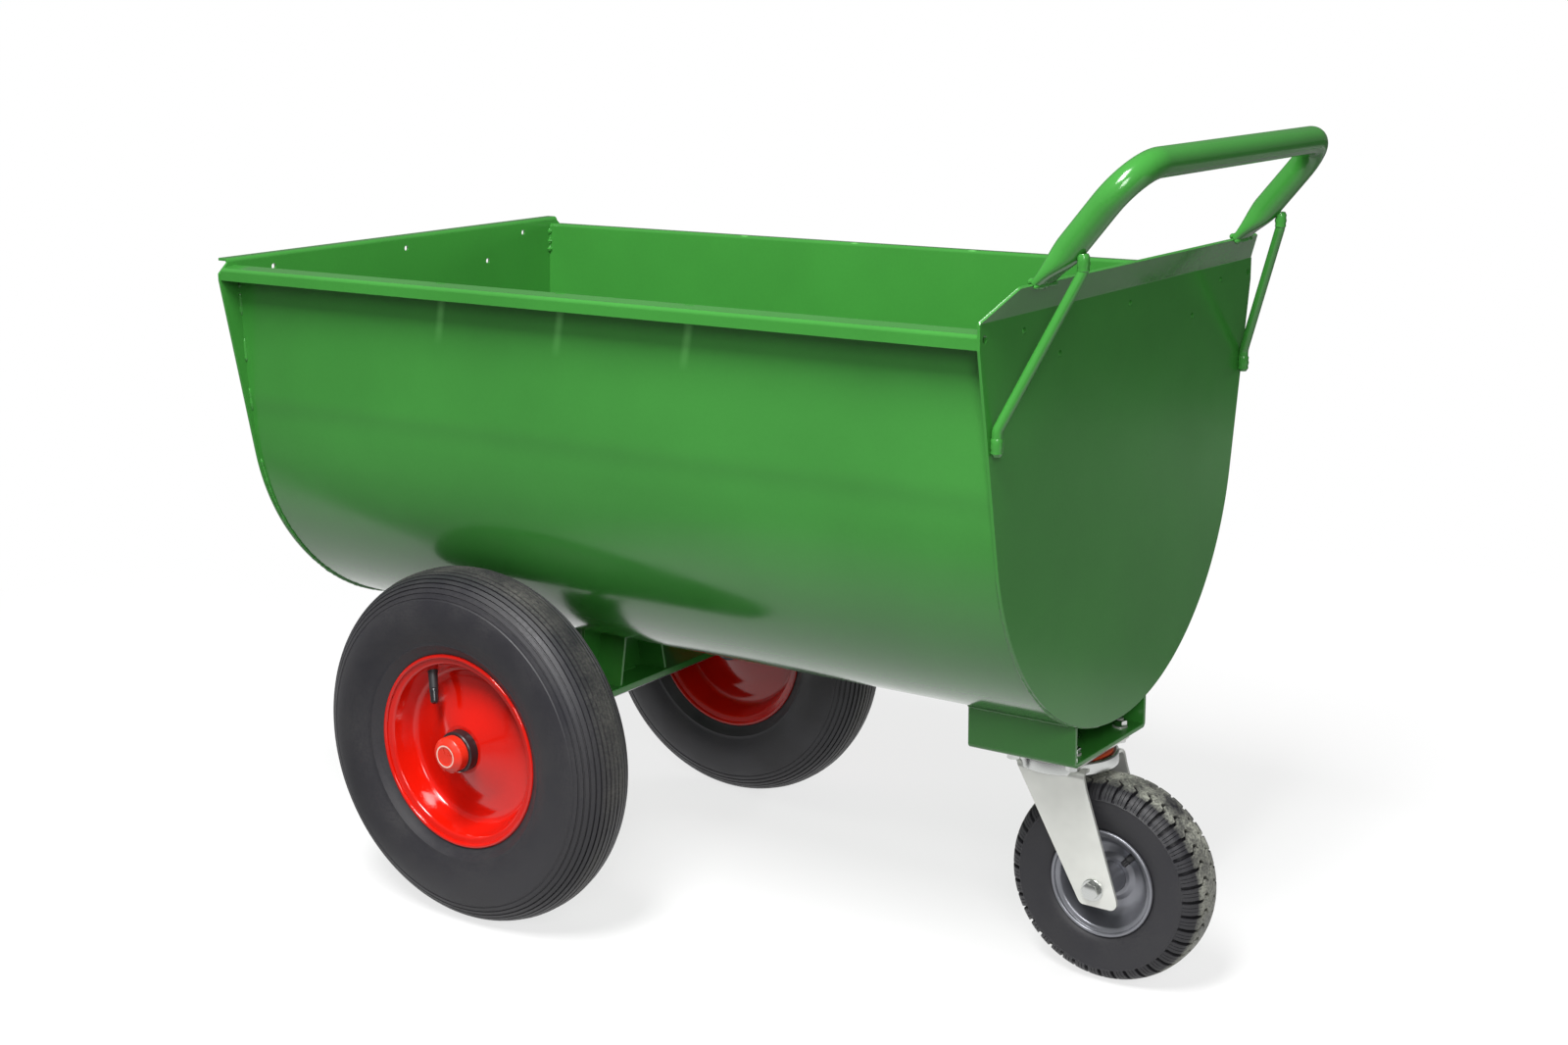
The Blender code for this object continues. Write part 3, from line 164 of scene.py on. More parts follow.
def enamel_coat():
    """Sprayed enamel: slow waves of the sheet, fine orange peel and faint clouds of colour."""
    tree, given = effect_group("enamel_coat", {"Colour": GREEN, "Gloss": GREEN_GLOSS,
                                               "Waves": SHEET_WAVES})
    place = own_place(tree)
    clouds = fine_noise(tree, place, 5.0, 3.0, 0.93, 1.06)
    grain = fine_noise(tree, place, 260.0, 2.0, 0.985, 1.015)
    patches = fine_noise(tree, place, 22.0, 4.0, 0.8, 1.3)
    slow = fine_noise(tree, place, 7.0, 1.0, 0.0, 1.0)
    peel = fine_noise(tree, place, 620.0, 1.5, 0.0, 1.0)
    waved = bumped(tree, slow, given["Waves"])
    group_out(tree, shaded_by(tree, given["Colour"], math_of(tree, "MULTIPLY", clouds, grain)),
              math_of(tree, "MULTIPLY", given["Gloss"], patches),
              bumped(tree, peel, ORANGE_PEEL, Normal=waved))


def blank_material(name):
    """A new material: itself, its tree and its Principled shader's sockets."""
    made = bpy.data.materials.new(name)
    made.use_nodes = True
    return made, made.node_tree, made.node_tree.nodes["Principled BSDF"].inputs


def surfaced(tree, shader, colour, rough, normal):
    """Gives the shader its colour, gloss and normal."""
    for source, label in ((colour, "Base Color"), (rough, "Roughness"), (normal, "Normal")):
        tree.links.new(source, shader[label])


def coated(name, effect, given, metallic=0.0):
    """A material with an effect group's finish, from the values given to the group."""
    made, tree, shader = blank_material(name)
    coat = add_node(tree, "ShaderNodeGroup", given, node_tree=bpy.data.node_groups[effect]).outputs
    surfaced(tree, shader, coat["Colour"], coat["Roughness"], coat["Normal"])
    shader["Metallic"].default_value = metallic
    return made


def enamel(name, colour, gloss, waves=SHEET_WAVES, metallic=0.0):
    """Sprayed enamel of a colour and a gloss, over a sheet with waves."""
    return coated(name, "enamel_coat", {"Colour": colour, "Gloss": gloss, "Waves": waves},
                  metallic)


def arc(centre, radius, start, end, steps):
    """Points along an arc, both ends included."""
    angles = [start + (end - start) * step / steps for step in range(steps + 1)]
    return [(centre[0] + radius * math.cos(angle), centre[1] + radius * math.sin(angle))
            for angle in angles]


def rounded(corners, radii, steps):
    """Straight runs through the corners, each inner corner rounded to its radius."""
    corners = [Vector(corner) for corner in corners]
    points = [corners[0]]
    for before, corner, after, radius in zip(corners, corners[1:], corners[2:], radii):
        back = (before - corner).normalized()
        onward = (after - corner).normalized()
        half = back.angle(onward) / 2
        centre = corner + (back + onward).normalized() * radius / math.sin(half)
        start = corner + back * radius / math.tan(half) - centre
        end = corner + onward * radius / math.tan(half) - centre
        sweep = start.angle(end)
        for step in range(steps + 1):
            share = step / steps
            first = math.sin((1 - share) * sweep) / math.sin(sweep)
            second = math.sin(share * sweep) / math.sin(sweep)
            points.append(centre + start * first + end * second)
    points.append(corners[-1])
    return points


def placed(name, data):
    """A new object in the scene."""
    made = bpy.data.objects.new(name, data)
    bpy.context.scene.collection.objects.link(made)
    return made


def finished(name, bm):
    """A new mesh from a bmesh, which is then freed."""
    mesh = bpy.data.meshes.new(name)
    bm.to_mesh(mesh)
    bm.free()
    return mesh


def sharp_edged(mesh):
    """Smooth shading that keeps sharp edges."""
    mesh.shade_smooth()
    mesh.set_sharp_from_angle(angle=SMOOTH_ANGLE)
    return mesh


def worked(mesh, *steps):
    """The mesh after a row of modifiers, each given as its kind and settings."""
    holder = placed(mesh.name, mesh)
    for kind, settings in steps:
        made = holder.modifiers.new(kind.lower(), kind)
        for key, value in settings.items():
            setattr(made, key, value)
    bpy.context.view_layer.update()
    evaluated = holder.evaluated_get(bpy.context.evaluated_depsgraph_get())
    result = bpy.data.meshes.new_from_object(evaluated)
    bpy.data.objects.remove(holder)
    return result


def smoothed(mesh):
    """Smooth shading that keeps sharp edges and flat faces."""
    return worked(sharp_edged(mesh), ("WEIGHTED_NORMAL", {"keep_sharp": True}))


def formed_sheet(name, rows, thickness, edge, is_cut=None):
    """A bent sheet: a grid of points, thickened away from its face, with rounded edges."""
    bm = bmesh.new()
    grid = [[bm.verts.new(point) for point in row] for row in rows]
    for low, high in zip(grid, grid[1:]):
        for corners in zip(low, high, high[1:], low[1:]):
            middle = (corners[0].co + corners[2].co) / 2
            if not (is_cut and is_cut(middle)):
                bm.faces.new(corners)
    thick = {"thickness": thickness, "offset": -1.0, "use_even_offset": True}
    soft = {"width": edge, "segments": 2, "limit_method": "ANGLE", "angle_limit": math.radians(50)}
    return smoothed(worked(finished(name, bm), ("SOLIDIFY", thick), ("BEVEL", soft)))


def fit(name, mesh, finish, body, slot, *stands_for, place=Matrix()):
    """Sets a piece in its place on a body, where it stands for the plain pieces named."""
    made = placed(name, mesh)
    made.matrix_world = place
    if not mesh.materials:
        mesh.materials.append(finish)
    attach(made, body)
    if stands_for:
        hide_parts(*stands_for)


def drawn_in(z):
    """How far in the sheet stands at a height."""
    for (high, first), (low, last) in zip(DRAWN_IN, DRAWN_IN[1:]):
        if low <= z <= high:
            return first + (last - first) * (high - z) / (high - low)
    return 0.0


def trough_line():
    """The sheet's inner face across the cart, from one rim's lower edge to the other's."""
    wall_y = WALL_TOP_Y - SHEET
    slope = math.tan(RIM_SLOPE)
    belly = arc((0.0, BELLY_CENTRE_Z), BELLY_RADIUS - SHEET, -math.pi / 2, -WALL_LEAN, BELLY_STEPS)
    belly += [(wall_y - (RIM_Z - z) * math.tan(WALL_LEAN), z) for z in WALL_POINTS_Z]
    belly = [(y - drawn_in(z), z) for y, z in belly]
    corners = [belly[-1], (wall_y, RIM_Z), (wall_y + RIM_WIDTH, RIM_Z - RIM_WIDTH * slope),
               (wall_y + RIM_WIDTH, RIM_Z - RIM_DEPTH)]
    fold_line = rounded(corners, [RIM_BEND, RIM_BEND], 8)
    slit = [(y, RIM_Z - (y - wall_y) * slope)
            for y in (SLIT_Y - SLIT_WIDTH / 2, SLIT_Y + SLIT_WIDTH / 2)]
    half = belly + fold_line[1:10] + slit + fold_line[10:]
    return [(-y, z) for y, z in reversed(half[1:])] + half


def is_slit(middle):
    """Whether a face of the sheet lies in one of the slits along the rims."""
    over = any(abs(middle.x - place) < SLIT_LENGTH / 2 for place in SLIT_PLACES)
    return over and abs(abs(middle.y) - SLIT_Y) < SLIT_WIDTH / 2 and middle.z > BELLY_CENTRE_Z


def painted_light_enamel():
    """The trough's green enamel, with a pale run of painted light down the outer wall under each
    slit.
    """
    made = enamel("painted_light_enamel", GREEN, GREEN_GLOSS)
    tree = made.node_tree
    x, y, z = add_node(tree, "ShaderNodeSeparateXYZ", {"Vector": own_place(tree)}).outputs
    # The painted light's runs lean with height and repeat at the slits' pitch, on the outer wall
    # only
    leant = math_of(tree, "MULTIPLY_ADD", z, -SLIT_LIGHT_SLANT, SLIT_LIGHT_SLANT * RIM_Z)
    along = math_of(tree, "SUBTRACT", math_of(tree, "ADD", x, leant), SLIT_PLACES[0])
    pitch = SLIT_PLACES[1] - SLIT_PLACES[0]
    aside = math_of(tree, "ABSOLUTE", math_of(tree, "WRAP", along, pitch / 2, -pitch / 2))
    upright = math_of(tree, "MULTIPLY_ADD", z, -math.tan(WALL_LEAN), math_of(tree, "ABSOLUTE", y))
    outer_face = WALL_TOP_Y - RIM_Z * math.tan(WALL_LEAN)
    share = ranged(tree, aside, *SLIT_LIGHT_EDGE, 1.0, 0.0)
    for mask in (ranged(tree, z, *SLIT_LIGHT_FADE_Z, 0.0, SLIT_LIGHT_SHARE),
                 math_of(tree, "GREATER_THAN", x, SLIT_PLACES[0] - SLIT_LIGHT_BEYOND),
                 math_of(tree, "LESS_THAN", x, SLIT_PLACES[-1] + SLIT_LIGHT_BEYOND),
                 math_of(tree, "COMPARE", upright, outer_face, SHEET / 2)):
        share = math_of(tree, "MULTIPLY", share, mask)
    coat = next(node for node in tree.nodes if node.type == "GROUP").outputs
    # Painted light: the pale green is mixed into the enamel's colour under each slit
    tree.links.new(mixed_colour(tree, share, coat["Colour"], PAINTED_LIGHT_GREEN),
                   tree.nodes["Principled BSDF"].inputs["Base Color"])
    return made


enamel_coat()
green_enamel = enamel("green_enamel", GREEN, GREEN_GLOSS)
stations = [FRONT_X + PLATE - INTO_PLATE, HANDLE_END_X - PLATE + INTO_PLATE]
for slit_place in SLIT_PLACES:
    stations += [slit_place - SLIT_LENGTH / 2, slit_place + SLIT_LENGTH / 2]
trough_rows = [[(x, y, z) for y, z in trough_line()] for x in sorted(stations)]
fit("trough_sheet", formed_sheet("trough_sheet", trough_rows, SHEET, SHEET_EDGE, is_slit),
    painted_light_enamel(), "cart", "green_paint", "trough_shell")


# End plates: 3 mm steel cut to the trough's shape. The handle end's top leans out as a stiff lip
# with cut corners, the front's is folded square as a short flange. Each has a W of five holes.
PLATE_EDGE = 0.0005
PLATE_RADIUS = 0.262
PLATE_FLARE = math.radians(10.43)
PLATE_HALF_WIDTH = 0.2948
SHOULDER_Z = 0.6968
SHOULDER_ROUND = 0.005
PLATE_TOP_Z = 0.7200
FOLD_RADIUS = 0.003
LIP_LENGTH = 0.0366
LIP_LEAN = math.radians(36.0)
LIP_CHAMFER = 0.035
LIP_ROUNDS = [0.002, 0.004]
FRONT_FLANGE = 0.013
FRONT_CORNER = 0.0125
FLANGE_ROUND = 0.002
PLATE_HOLES = ((-0.2146, 0.0153), (0.0, 0.0153), (0.2146, 0.0153), (-0.1451, 0.0450),
               (0.1451, 0.0450))
HOLE_RADIUS = 0.0033
CORNER_HOLE = (0.2863, 0.014)
CORNER_HOLE_RADIUS = 0.00375
# Local X and Y of a flat outline become the cart's Y and Z, its thickness runs along X
UPRIGHT = Matrix(((0, 0, 1, 0), (1, 0, 0, 0), (0, 1, 0, 0), (0, 0, 0, 1)))


def at(x, y, z):
    """A shift to a place."""
    return Matrix.Translation((x, y, z))


def fit_green(name, mesh, *stands_for):
    """A piece of the cart's body, in its green enamel."""
    fit(name, mesh, green_enamel, "cart", "green_paint", *stands_for)


def cut_plate(name, outline, thickness, edge, place=Matrix()):
    """A flat plate cut to an outline, its thickness centred on local Z, its edges rounded."""
    bm = bmesh.new()
    face = bm.faces.new([bm.verts.new((x, y, -thickness / 2)) for x, y in outline])
    raised = bmesh.ops.extrude_face_region(bm, geom=[face])["geom"]
    upper = [item for item in raised if isinstance(item, bmesh.types.BMVert)]
    bmesh.ops.translate(bm, vec=(0, 0, thickness), verts=upper)
    bmesh.ops.recalc_face_normals(bm, faces=bm.faces)
    rims = [rim for rim in bm.edges if abs(rim.verts[0].co.z - rim.verts[1].co.z) < edge]
    bmesh.ops.bevel(bm, geom=rims, offset=edge, segments=2, profile=0.5, affect="EDGES")
    bmesh.ops.transform(bm, matrix=place, verts=bm.verts)
    return finished(name, bm)


def drilled(mesh, drills):
    """The mesh with holes through it: each is a middle, a radius, a length and a turn."""
    bm = bmesh.new()
    for middle, radius, length, turn in drills:
        bmesh.ops.create_cone(bm, cap_ends=True, segments=32, radius1=radius, radius2=radius,
                              depth=length, matrix=at(*middle) @ turn)
    tool = placed("drill_bits", finished("drill_bits", bm))
    made = worked(mesh, ("BOOLEAN", {"object": tool, "operation": "DIFFERENCE"}))
    bpy.data.objects.remove(tool)
    return made


def folded(mesh, line_z, face_x, side, angle, steps=8):
    """Bends the part of an upright plate above a line towards +X or -X."""
    length = FOLD_RADIUS * angle
    bm = bmesh.new()
    bm.from_mesh(mesh)
    for step in range(steps + 1):
        everything = bm.verts[:] + bm.edges[:] + bm.faces[:]
        bmesh.ops.bisect_plane(bm, geom=everything, plane_no=(0, 0, 1), dist=0.000001,
                               plane_co=(0, 0, line_z + length * step / steps))
    for vertex in bm.verts:
        height = vertex.co.z - line_z
        if height <= 0:
            continue
        reach = FOLD_RADIUS - side * (vertex.co.x - face_x)
        turn = min(height / FOLD_RADIUS, angle)
        beyond = max(height - length, 0.0)
        out = FOLD_RADIUS - reach * math.cos(turn) + beyond * math.sin(turn)
        vertex.co.x = face_x + side * out
        vertex.co.z = line_z + reach * math.sin(turn) + beyond * math.cos(turn)
    return finished(mesh.name, bm)


def end_plate(name, corners, rounds, holes, middle_x):
    """An end plate before its fold: belly arc, flanks and the corners above them."""
    flank = arc((0.0, BELLY_CENTRE_Z), PLATE_RADIUS, -math.pi / 2, -PLATE_FLARE, BELLY_STEPS)
    run = rounded([flank[-1], (PLATE_HALF_WIDTH, SHOULDER_Z), *corners, (0.0, corners[-1][1])],
                  [SHOULDER_ROUND, *rounds], 4)
    side = [Vector(point) for point in flank] + run[1:-1]
    outline = side + [Vector((-y, z)) for y, z in reversed(side[1:])]
    flat = cut_plate(name, outline, PLATE, PLATE_EDGE, at(middle_x, 0, 0) @ UPRIGHT)
    across = Matrix.Rotation(math.pi / 2, 4, "Y")
    return drilled(flat, [((middle_x, y, z), radius, 4 * PLATE, across) for y, z, radius in holes])


holes = [(y, PLATE_TOP_Z - drop, HOLE_RADIUS) for y, drop in PLATE_HOLES]
corner_holes = [(side * CORNER_HOLE[0], PLATE_TOP_Z - CORNER_HOLE[1], CORNER_HOLE_RADIUS)
                for side in (-1, 1)]
middle_x = HANDLE_END_X - PLATE / 2
corners = [(PLATE_HALF_WIDTH, PLATE_TOP_Z),
           (PLATE_HALF_WIDTH - LIP_CHAMFER, PLATE_TOP_Z + LIP_LENGTH)]
handle_end = end_plate("handle_end_sheet", corners, LIP_ROUNDS, holes + corner_holes, middle_x)
handle_end = folded(handle_end, PLATE_TOP_Z, middle_x, 1, LIP_LEAN)
fit_green("handle_end_sheet", smoothed(handle_end), "handle_end_plate")

middle_x = FRONT_X + PLATE / 2
fold_z = PLATE_TOP_Z - FOLD_RADIUS - PLATE / 2
flange_top = fold_z + FOLD_RADIUS * (math.pi / 2 - 1) + FRONT_FLANGE + PLATE / 2
flange_y = PLATE_HALF_WIDTH - FRONT_CORNER
corners = [(PLATE_HALF_WIDTH, PLATE_TOP_Z - FRONT_CORNER - PLATE), (flange_y, fold_z),
           (flange_y, flange_top)]
front_end = end_plate("front_end_sheet", corners, [FLANGE_ROUND] * 3, holes, middle_x)
front_end = folded(front_end, fold_z, middle_x, -1, math.pi / 2)
fit_green("front_end_sheet", smoothed(front_end), "front_end_plate")


# Weld seams: beads of filler laid along each end of the belly and in tacks up the walls, one in
# every top corner and three thick lumps inside each front one, all under the paint.
SIDES = (("left", -1), ("right", 1))
BEAD = 0.0019
BEAD_STEP = 0.0013
BEAD_LIFT = 0.0003
# A bead's width at its tips, how it grows with each step, and how it ripples
BEAD_TIP = 0.35
BEAD_GROWTH = 0.3
RIPPLE = 0.10
RIPPLE_TURN = 2.1
UNEVEN = 0.35
UNEVEN_SCALE = 160.0
BELLY_SEAM_ENDS = (math.radians(-168), math.radians(-12))
SEAM_FROM_PLATE = 0.0006
TACKS_Z = (0.545, 0.602, 0.655)
TACK_LENGTH = 0.026
CORNER_TACK_Z = (0.676, 0.703)
CORNER_BEAD = 0.0016
LUMPS_Z = (0.701, 0.688, 0.678)
LUMP = 0.0036
LUMP_INSET = 0.0008
LUMP_SINK = 0.0004


def skin(name, rings, is_loop=False):
    """A closed mesh over rings of points, which may meet again as a loop."""
    bm = bmesh.new()
    rows = [[bm.verts.new(point) for point in ring] for ring in rings]
    for low, high in zip(rows, rows[1:] + rows[:1] if is_loop else rows[1:]):
        for index, after in enumerate([*range(1, len(low)), 0]):
            bm.faces.new((low[index], low[after], high[after], high[index]))
    if not is_loop:
        bm.faces.new(rows[0])
        bm.faces.new(rows[-1])
    bmesh.ops.remove_doubles(bm, verts=bm.verts, dist=0.000001)
    bmesh.ops.recalc_face_normals(bm, faces=bm.faces)
    return sharp_edged(finished(name, bm))


def swept(name, line, normal, sizes, sides=24):
    """A bar along a line in a plane: at each point its half thickness along the plane's normal,
    its half width across, and how square it is, where 2 is round."""
    points = [Vector(point) for point in line]
    normal = Vector(normal).normalized()
    rings = []
    for index, (point, (thick, wide, power)) in enumerate(zip(points, sizes)):
        way = points[min(index + 1, len(points) - 1)] - points[max(index - 1, 0)]
        across = way.cross(normal).normalized()
        ring = []
        for step in range(sides):
            turn = 2 * math.pi * step / sides
            out = math.copysign(abs(math.cos(turn)) ** (2 / power), math.cos(turn)) * thick
            over = math.copysign(abs(math.sin(turn)) ** (2 / power), math.sin(turn)) * wide
            ring.append(point + normal * out + across * over)
        rings.append(ring)
    return skin(name, rings)


def evenly(line, spacing):
    """The line's course in even steps of about the spacing."""
    points = [Vector(point) for point in line]
    made = [points[0]]
    for before, after in zip(points, points[1:]):
        count = max(round((after - before).length / spacing), 1)
        made += [before.lerp(after, (step + 1) / count) for step in range(count)]
    return made


def weld_bead(name, line, normal, size):
    """A rippled bead of weld along a line, thin at its two ends."""
    course = evenly(line, BEAD_STEP)
    last = len(course) - 1
    sizes = []
    for index, point in enumerate(course):
        ends = min(1.0, BEAD_TIP + BEAD_GROWTH * min(index, last - index))
        ripple = 1.0 + RIPPLE * math.sin(index * RIPPLE_TURN)
        ripple += UNEVEN * noise.noise(point * UNEVEN_SCALE)
        sizes.append((size * ends * ripple, size * ends * ripple, 2.0))
    fit_green(name, swept(name, course, normal, sizes, 10))


def wall_y(z):
    """How far out the trough's outer face is at a height on its wall."""
    return WALL_TOP_Y - (RIM_Z - z) * math.tan(WALL_LEAN) - drawn_in(z)


for end, seam_x, inward, lumps_z in (("front", FRONT_X + PLATE, 1, LUMPS_Z),
                                     ("handle_end", HANDLE_END_X - PLATE, -1, ())):
    seam = arc((0.0, BELLY_CENTRE_Z), BELLY_RADIUS + BEAD_LIFT, *BELLY_SEAM_ENDS, 120)
    x = seam_x + inward * SEAM_FROM_PLATE
    seam = [(x, y - math.copysign(drawn_in(z), y), z) for y, z in seam]
    weld_bead(f"{end}_belly_seam", seam, (1, 0, 0), BEAD)
    for side_name, side in SIDES:
        for number, low in enumerate(TACKS_Z, 1):
            tack = [(x, side * wall_y(z), z) for z in (low, low + TACK_LENGTH)]
            weld_bead(f"{end}_wall_tack_{side_name}_{number}", tack, (1, 0, 0), BEAD)
        corner = [(x, side * (wall_y(z) - SHEET), z) for z in CORNER_TACK_Z]
        weld_bead(f"{end}_corner_tack_{side_name}", corner, (1, 0, 0), CORNER_BEAD)
        for number, z in enumerate(lumps_z):
            inner_y = side * (wall_y(z) - SHEET - LUMP_INSET)
            lump = [(x - inward * LUMP_SINK, inner_y, z + BEAD_STEP * step)
                    for step in range(-3, 4)]
            weld_bead(f"inner_lump_{side_name}_{number}", lump, (1, 0, 0), LUMP)


# Push handle: one round steel tube bent into a hoop. Its two ends are pressed flat and welded to
# the lip's top edge, with a run of weld along both faces of each.
TUBE_RADIUS = 0.0138
HANDLE_HALF_WIDTH = 0.218
HANDLE_CORNER = Vector((0.540, 0.855))
HANDLE_BEND = 0.045
LIP_EDGE = Vector((0.4525, 0.7499))
FOOT_GAP = 0.0004
FOOT_WIDTH = 0.040
FOOT_THICKNESS = 0.009
FOOT_LENGTH = 0.042
FOOT_POWER = 3.4
FOOT_BEAD = 0.0026
FOOT_BEAD_OUT = 0.0036
FOOT_BEAD_HALF = 0.021

arm_way = (HANDLE_CORNER - LIP_EDGE).normalized()
arm_foot = LIP_EDGE + arm_way * FOOT_GAP
arm_normal = Vector((-arm_way.y, 0.0, arm_way.x))
pressed = [arm_foot + arm_way * FOOT_LENGTH * step / 12 for step in range(13)]
left_foot = [Vector((point.x, -HANDLE_HALF_WIDTH, point.y)) for point in pressed]
right_foot = [Vector((point.x, HANDLE_HALF_WIDTH, point.y)) for point in reversed(pressed)]
hoop = [left_foot[-1], (HANDLE_CORNER.x, -HANDLE_HALF_WIDTH, HANDLE_CORNER.y),
        (HANDLE_CORNER.x, HANDLE_HALF_WIDTH, HANDLE_CORNER.y), right_foot[0]]
handle_line = left_foot[:-1] + rounded(hoop, [HANDLE_BEND, HANDLE_BEND], 20) + right_foot[1:]
handle_sizes = []
for point in handle_line:
    along = (Vector((point.x, point.z)) - arm_foot).dot(arm_way) / FOOT_LENGTH
    along = min(max(along, 0.0), 1.0)
    ease = along ** 2 * (3 - 2 * along)
    handle_sizes.append((FOOT_THICKNESS / 2 + (TUBE_RADIUS - FOOT_THICKNESS / 2) * ease,
                         FOOT_WIDTH / 2 + (TUBE_RADIUS - FOOT_WIDTH / 2) * ease,
                         FOOT_POWER + (2.0 - FOOT_POWER) * ease))
fit_green("handle_tube", swept("handle_tube", handle_line, arm_normal, handle_sizes, 40),
          "push_handle")

for side_name, side in SIDES:
    for face, out in (("outer", -1), ("inner", 1)):
        seat = Vector((LIP_EDGE.x, 0.0, LIP_EDGE.y)) + arm_normal * out * FOOT_BEAD_OUT
        run = [(seat.x, side * HANDLE_HALF_WIDTH + share * FOOT_BEAD_HALF, seat.z)
               for share in (-1, 1)]
        weld_bead(f"handle_foot_weld_{side_name}_{face}", run, (0, 0, 1), FOOT_BEAD)


# Braces: a round bar on each side, from the underside of the arm down to the end plate's edge,
# welded at both ends.
BRACE_RADIUS = 0.005
BRACE_TOP_Z = 0.772
BRACE_TOP_Y = 0.2215
BRACE_TOP_DROP = 0.010
BRACE_FOOT_Z = 0.605
BRACE_KNEE = 0.018
BRACE_INSET = 0.010
BRACE_BEND = 0.012
BRACE_WELD = 0.0061
BRACE_WELD_STEP = 0.0030
BRACE_WELD_WIDTHS = (0.6, 0.92, 0.88, 1, 0.9, 0.96, 0.7)
BRACE_WELD_DROPS = (("top", -0.003), ("foot", 0.004))

under_arm = TUBE_RADIUS + BRACE_RADIUS * arm_way.y
along = (BRACE_TOP_Z - arm_foot.y + under_arm * arm_way.x) / arm_way.y
brace_top = arm_foot + arm_way * along + Vector((arm_way.y, -arm_way.x)) * under_arm
flank_foot = Vector((PLATE_RADIUS * math.cos(PLATE_FLARE),
                     BELLY_CENTRE_Z - PLATE_RADIUS * math.sin(PLATE_FLARE)))
knee_z = BRACE_FOOT_Z + BRACE_KNEE
foot_y = flank_foot.x + (knee_z - flank_foot.y) * math.tan(PLATE_FLARE) - BRACE_INSET
seat_x = HANDLE_END_X + BRACE_RADIUS
for side_name, side in SIDES:
    corners = [Vector((brace_top.x, side * BRACE_TOP_Y, brace_top.y)),
               Vector((brace_top.x, side * BRACE_TOP_Y, brace_top.y - BRACE_TOP_DROP)),
               Vector((seat_x, side * foot_y, knee_z)),
               Vector((seat_x, side * foot_y, BRACE_FOOT_Z))]
    line = rounded(corners, [BRACE_BEND, BRACE_BEND], 8)
    normal = (corners[2] - corners[1]).cross(Vector((0, 0, 1)))
    sizes = [(BRACE_RADIUS, BRACE_RADIUS, 2.0)] * len(line)
    fit_green(f"brace_bar_{side_name}", swept("brace_bar", line, normal, sizes),
              f"handle_brace_{side_name}")
    for (end, lift), spot in zip(BRACE_WELD_DROPS, (corners[0], corners[3])):
        bulb = [spot + Vector((0, 0, lift + BRACE_WELD_STEP * step)) for step in range(-3, 4)]
        sizes = [(BRACE_WELD * wide, BRACE_WELD * wide, 2.0) for wide in BRACE_WELD_WIDTHS]
        fit_green(f"brace_{end}_weld_{side_name}", swept("brace_weld", bulb, (1, 0, 0), sizes, 16))


# Axle carrier: a flat steel bar lies on the axle, and a web stands on it up to the belly, with
# two splayed ribs beside it. All are welded together and to the belly, and painted green.
AXLE_X = -0.223
AXLE_Z = 0.200
AXLE_RADIUS = 0.010
BAR_TOP_Z = 0.2183
BAR_THICKNESS = 0.008
BAR_EDGE = 0.0008
BAR_WIDTH = 0.083
BAR_HALF_LENGTH = 0.190
WEB_HALF_LENGTH = 0.063
WEB_THICKNESS = 0.005
WEB_BEAD = 0.0022
WEB_TACKS = ((-0.061, -0.047), (-0.030, 0.030), (0.047, 0.061))
RIB_THICKNESS = 0.004
RIB_LENGTH = 0.077
RIB_FOOT_Y = 0.0425
RIB_TOP_Y = 0.030


def belly_z(y):
    """Height of the belly's outer face at y."""
    return BELLY_CENTRE_Z - math.sqrt(BELLY_RADIUS ** 2 - y ** 2)


bar_outline = [(AXLE_X + x * BAR_WIDTH / 2, y * BAR_HALF_LENGTH)
               for x, y in ((-1, -1), (1, -1), (1, 1), (-1, 1))]
fit_green("axle_bar", smoothed(cut_plate("axle_bar", bar_outline, BAR_THICKNESS, BAR_EDGE,
                                         at(0, 0, BAR_TOP_Z - BAR_THICKNESS / 2))),
          "axle_carrier_bar")

at_axle = at(AXLE_X, 0, 0) @ UPRIGHT
crown = [WEB_HALF_LENGTH * step / 20 for step in range(-20, 21)]
web_outline = [(y, belly_z(y)) for y in reversed(crown)]
web_outline += [(-WEB_HALF_LENGTH, BAR_TOP_Z), (WEB_HALF_LENGTH, BAR_TOP_Z)]
fit_green("axle_web_plate", smoothed(cut_plate("axle_web_plate", web_outline, WEB_THICKNESS,
                                               PLATE_EDGE, at_axle)), "axle_web")
for side_name, side in SIDES:
    half = RIB_THICKNESS / 2
    rib_outline = [(side * (RIB_FOOT_Y + shift), BAR_TOP_Z) for shift in (-half, half)]
    rib_outline += [(side * y, belly_z(y)) for y in (RIB_TOP_Y + half, RIB_TOP_Y - half)]
    fit_green(f"carrier_rib_{side_name}",
              smoothed(cut_plate("carrier_rib", rib_outline, RIB_LENGTH, PLATE_EDGE, at_axle)))
for face, side in (("front", -1), ("back", 1)):
    x = AXLE_X + side * (WEB_THICKNESS / 2 + BEAD_LIFT)
    top = [(x, y, belly_z(y) - BEAD_LIFT) for y in crown]
    weld_bead(f"web_belly_seam_{face}", top, (1, 0, 0), WEB_BEAD)
    for number, (low, high) in enumerate(WEB_TACKS, 1):
        weld_bead(f"web_bar_tack_{face}_{number}", [(x, low, BAR_TOP_Z), (x, high, BAR_TOP_Z)],
                  (1, 0, 0), WEB_BEAD)


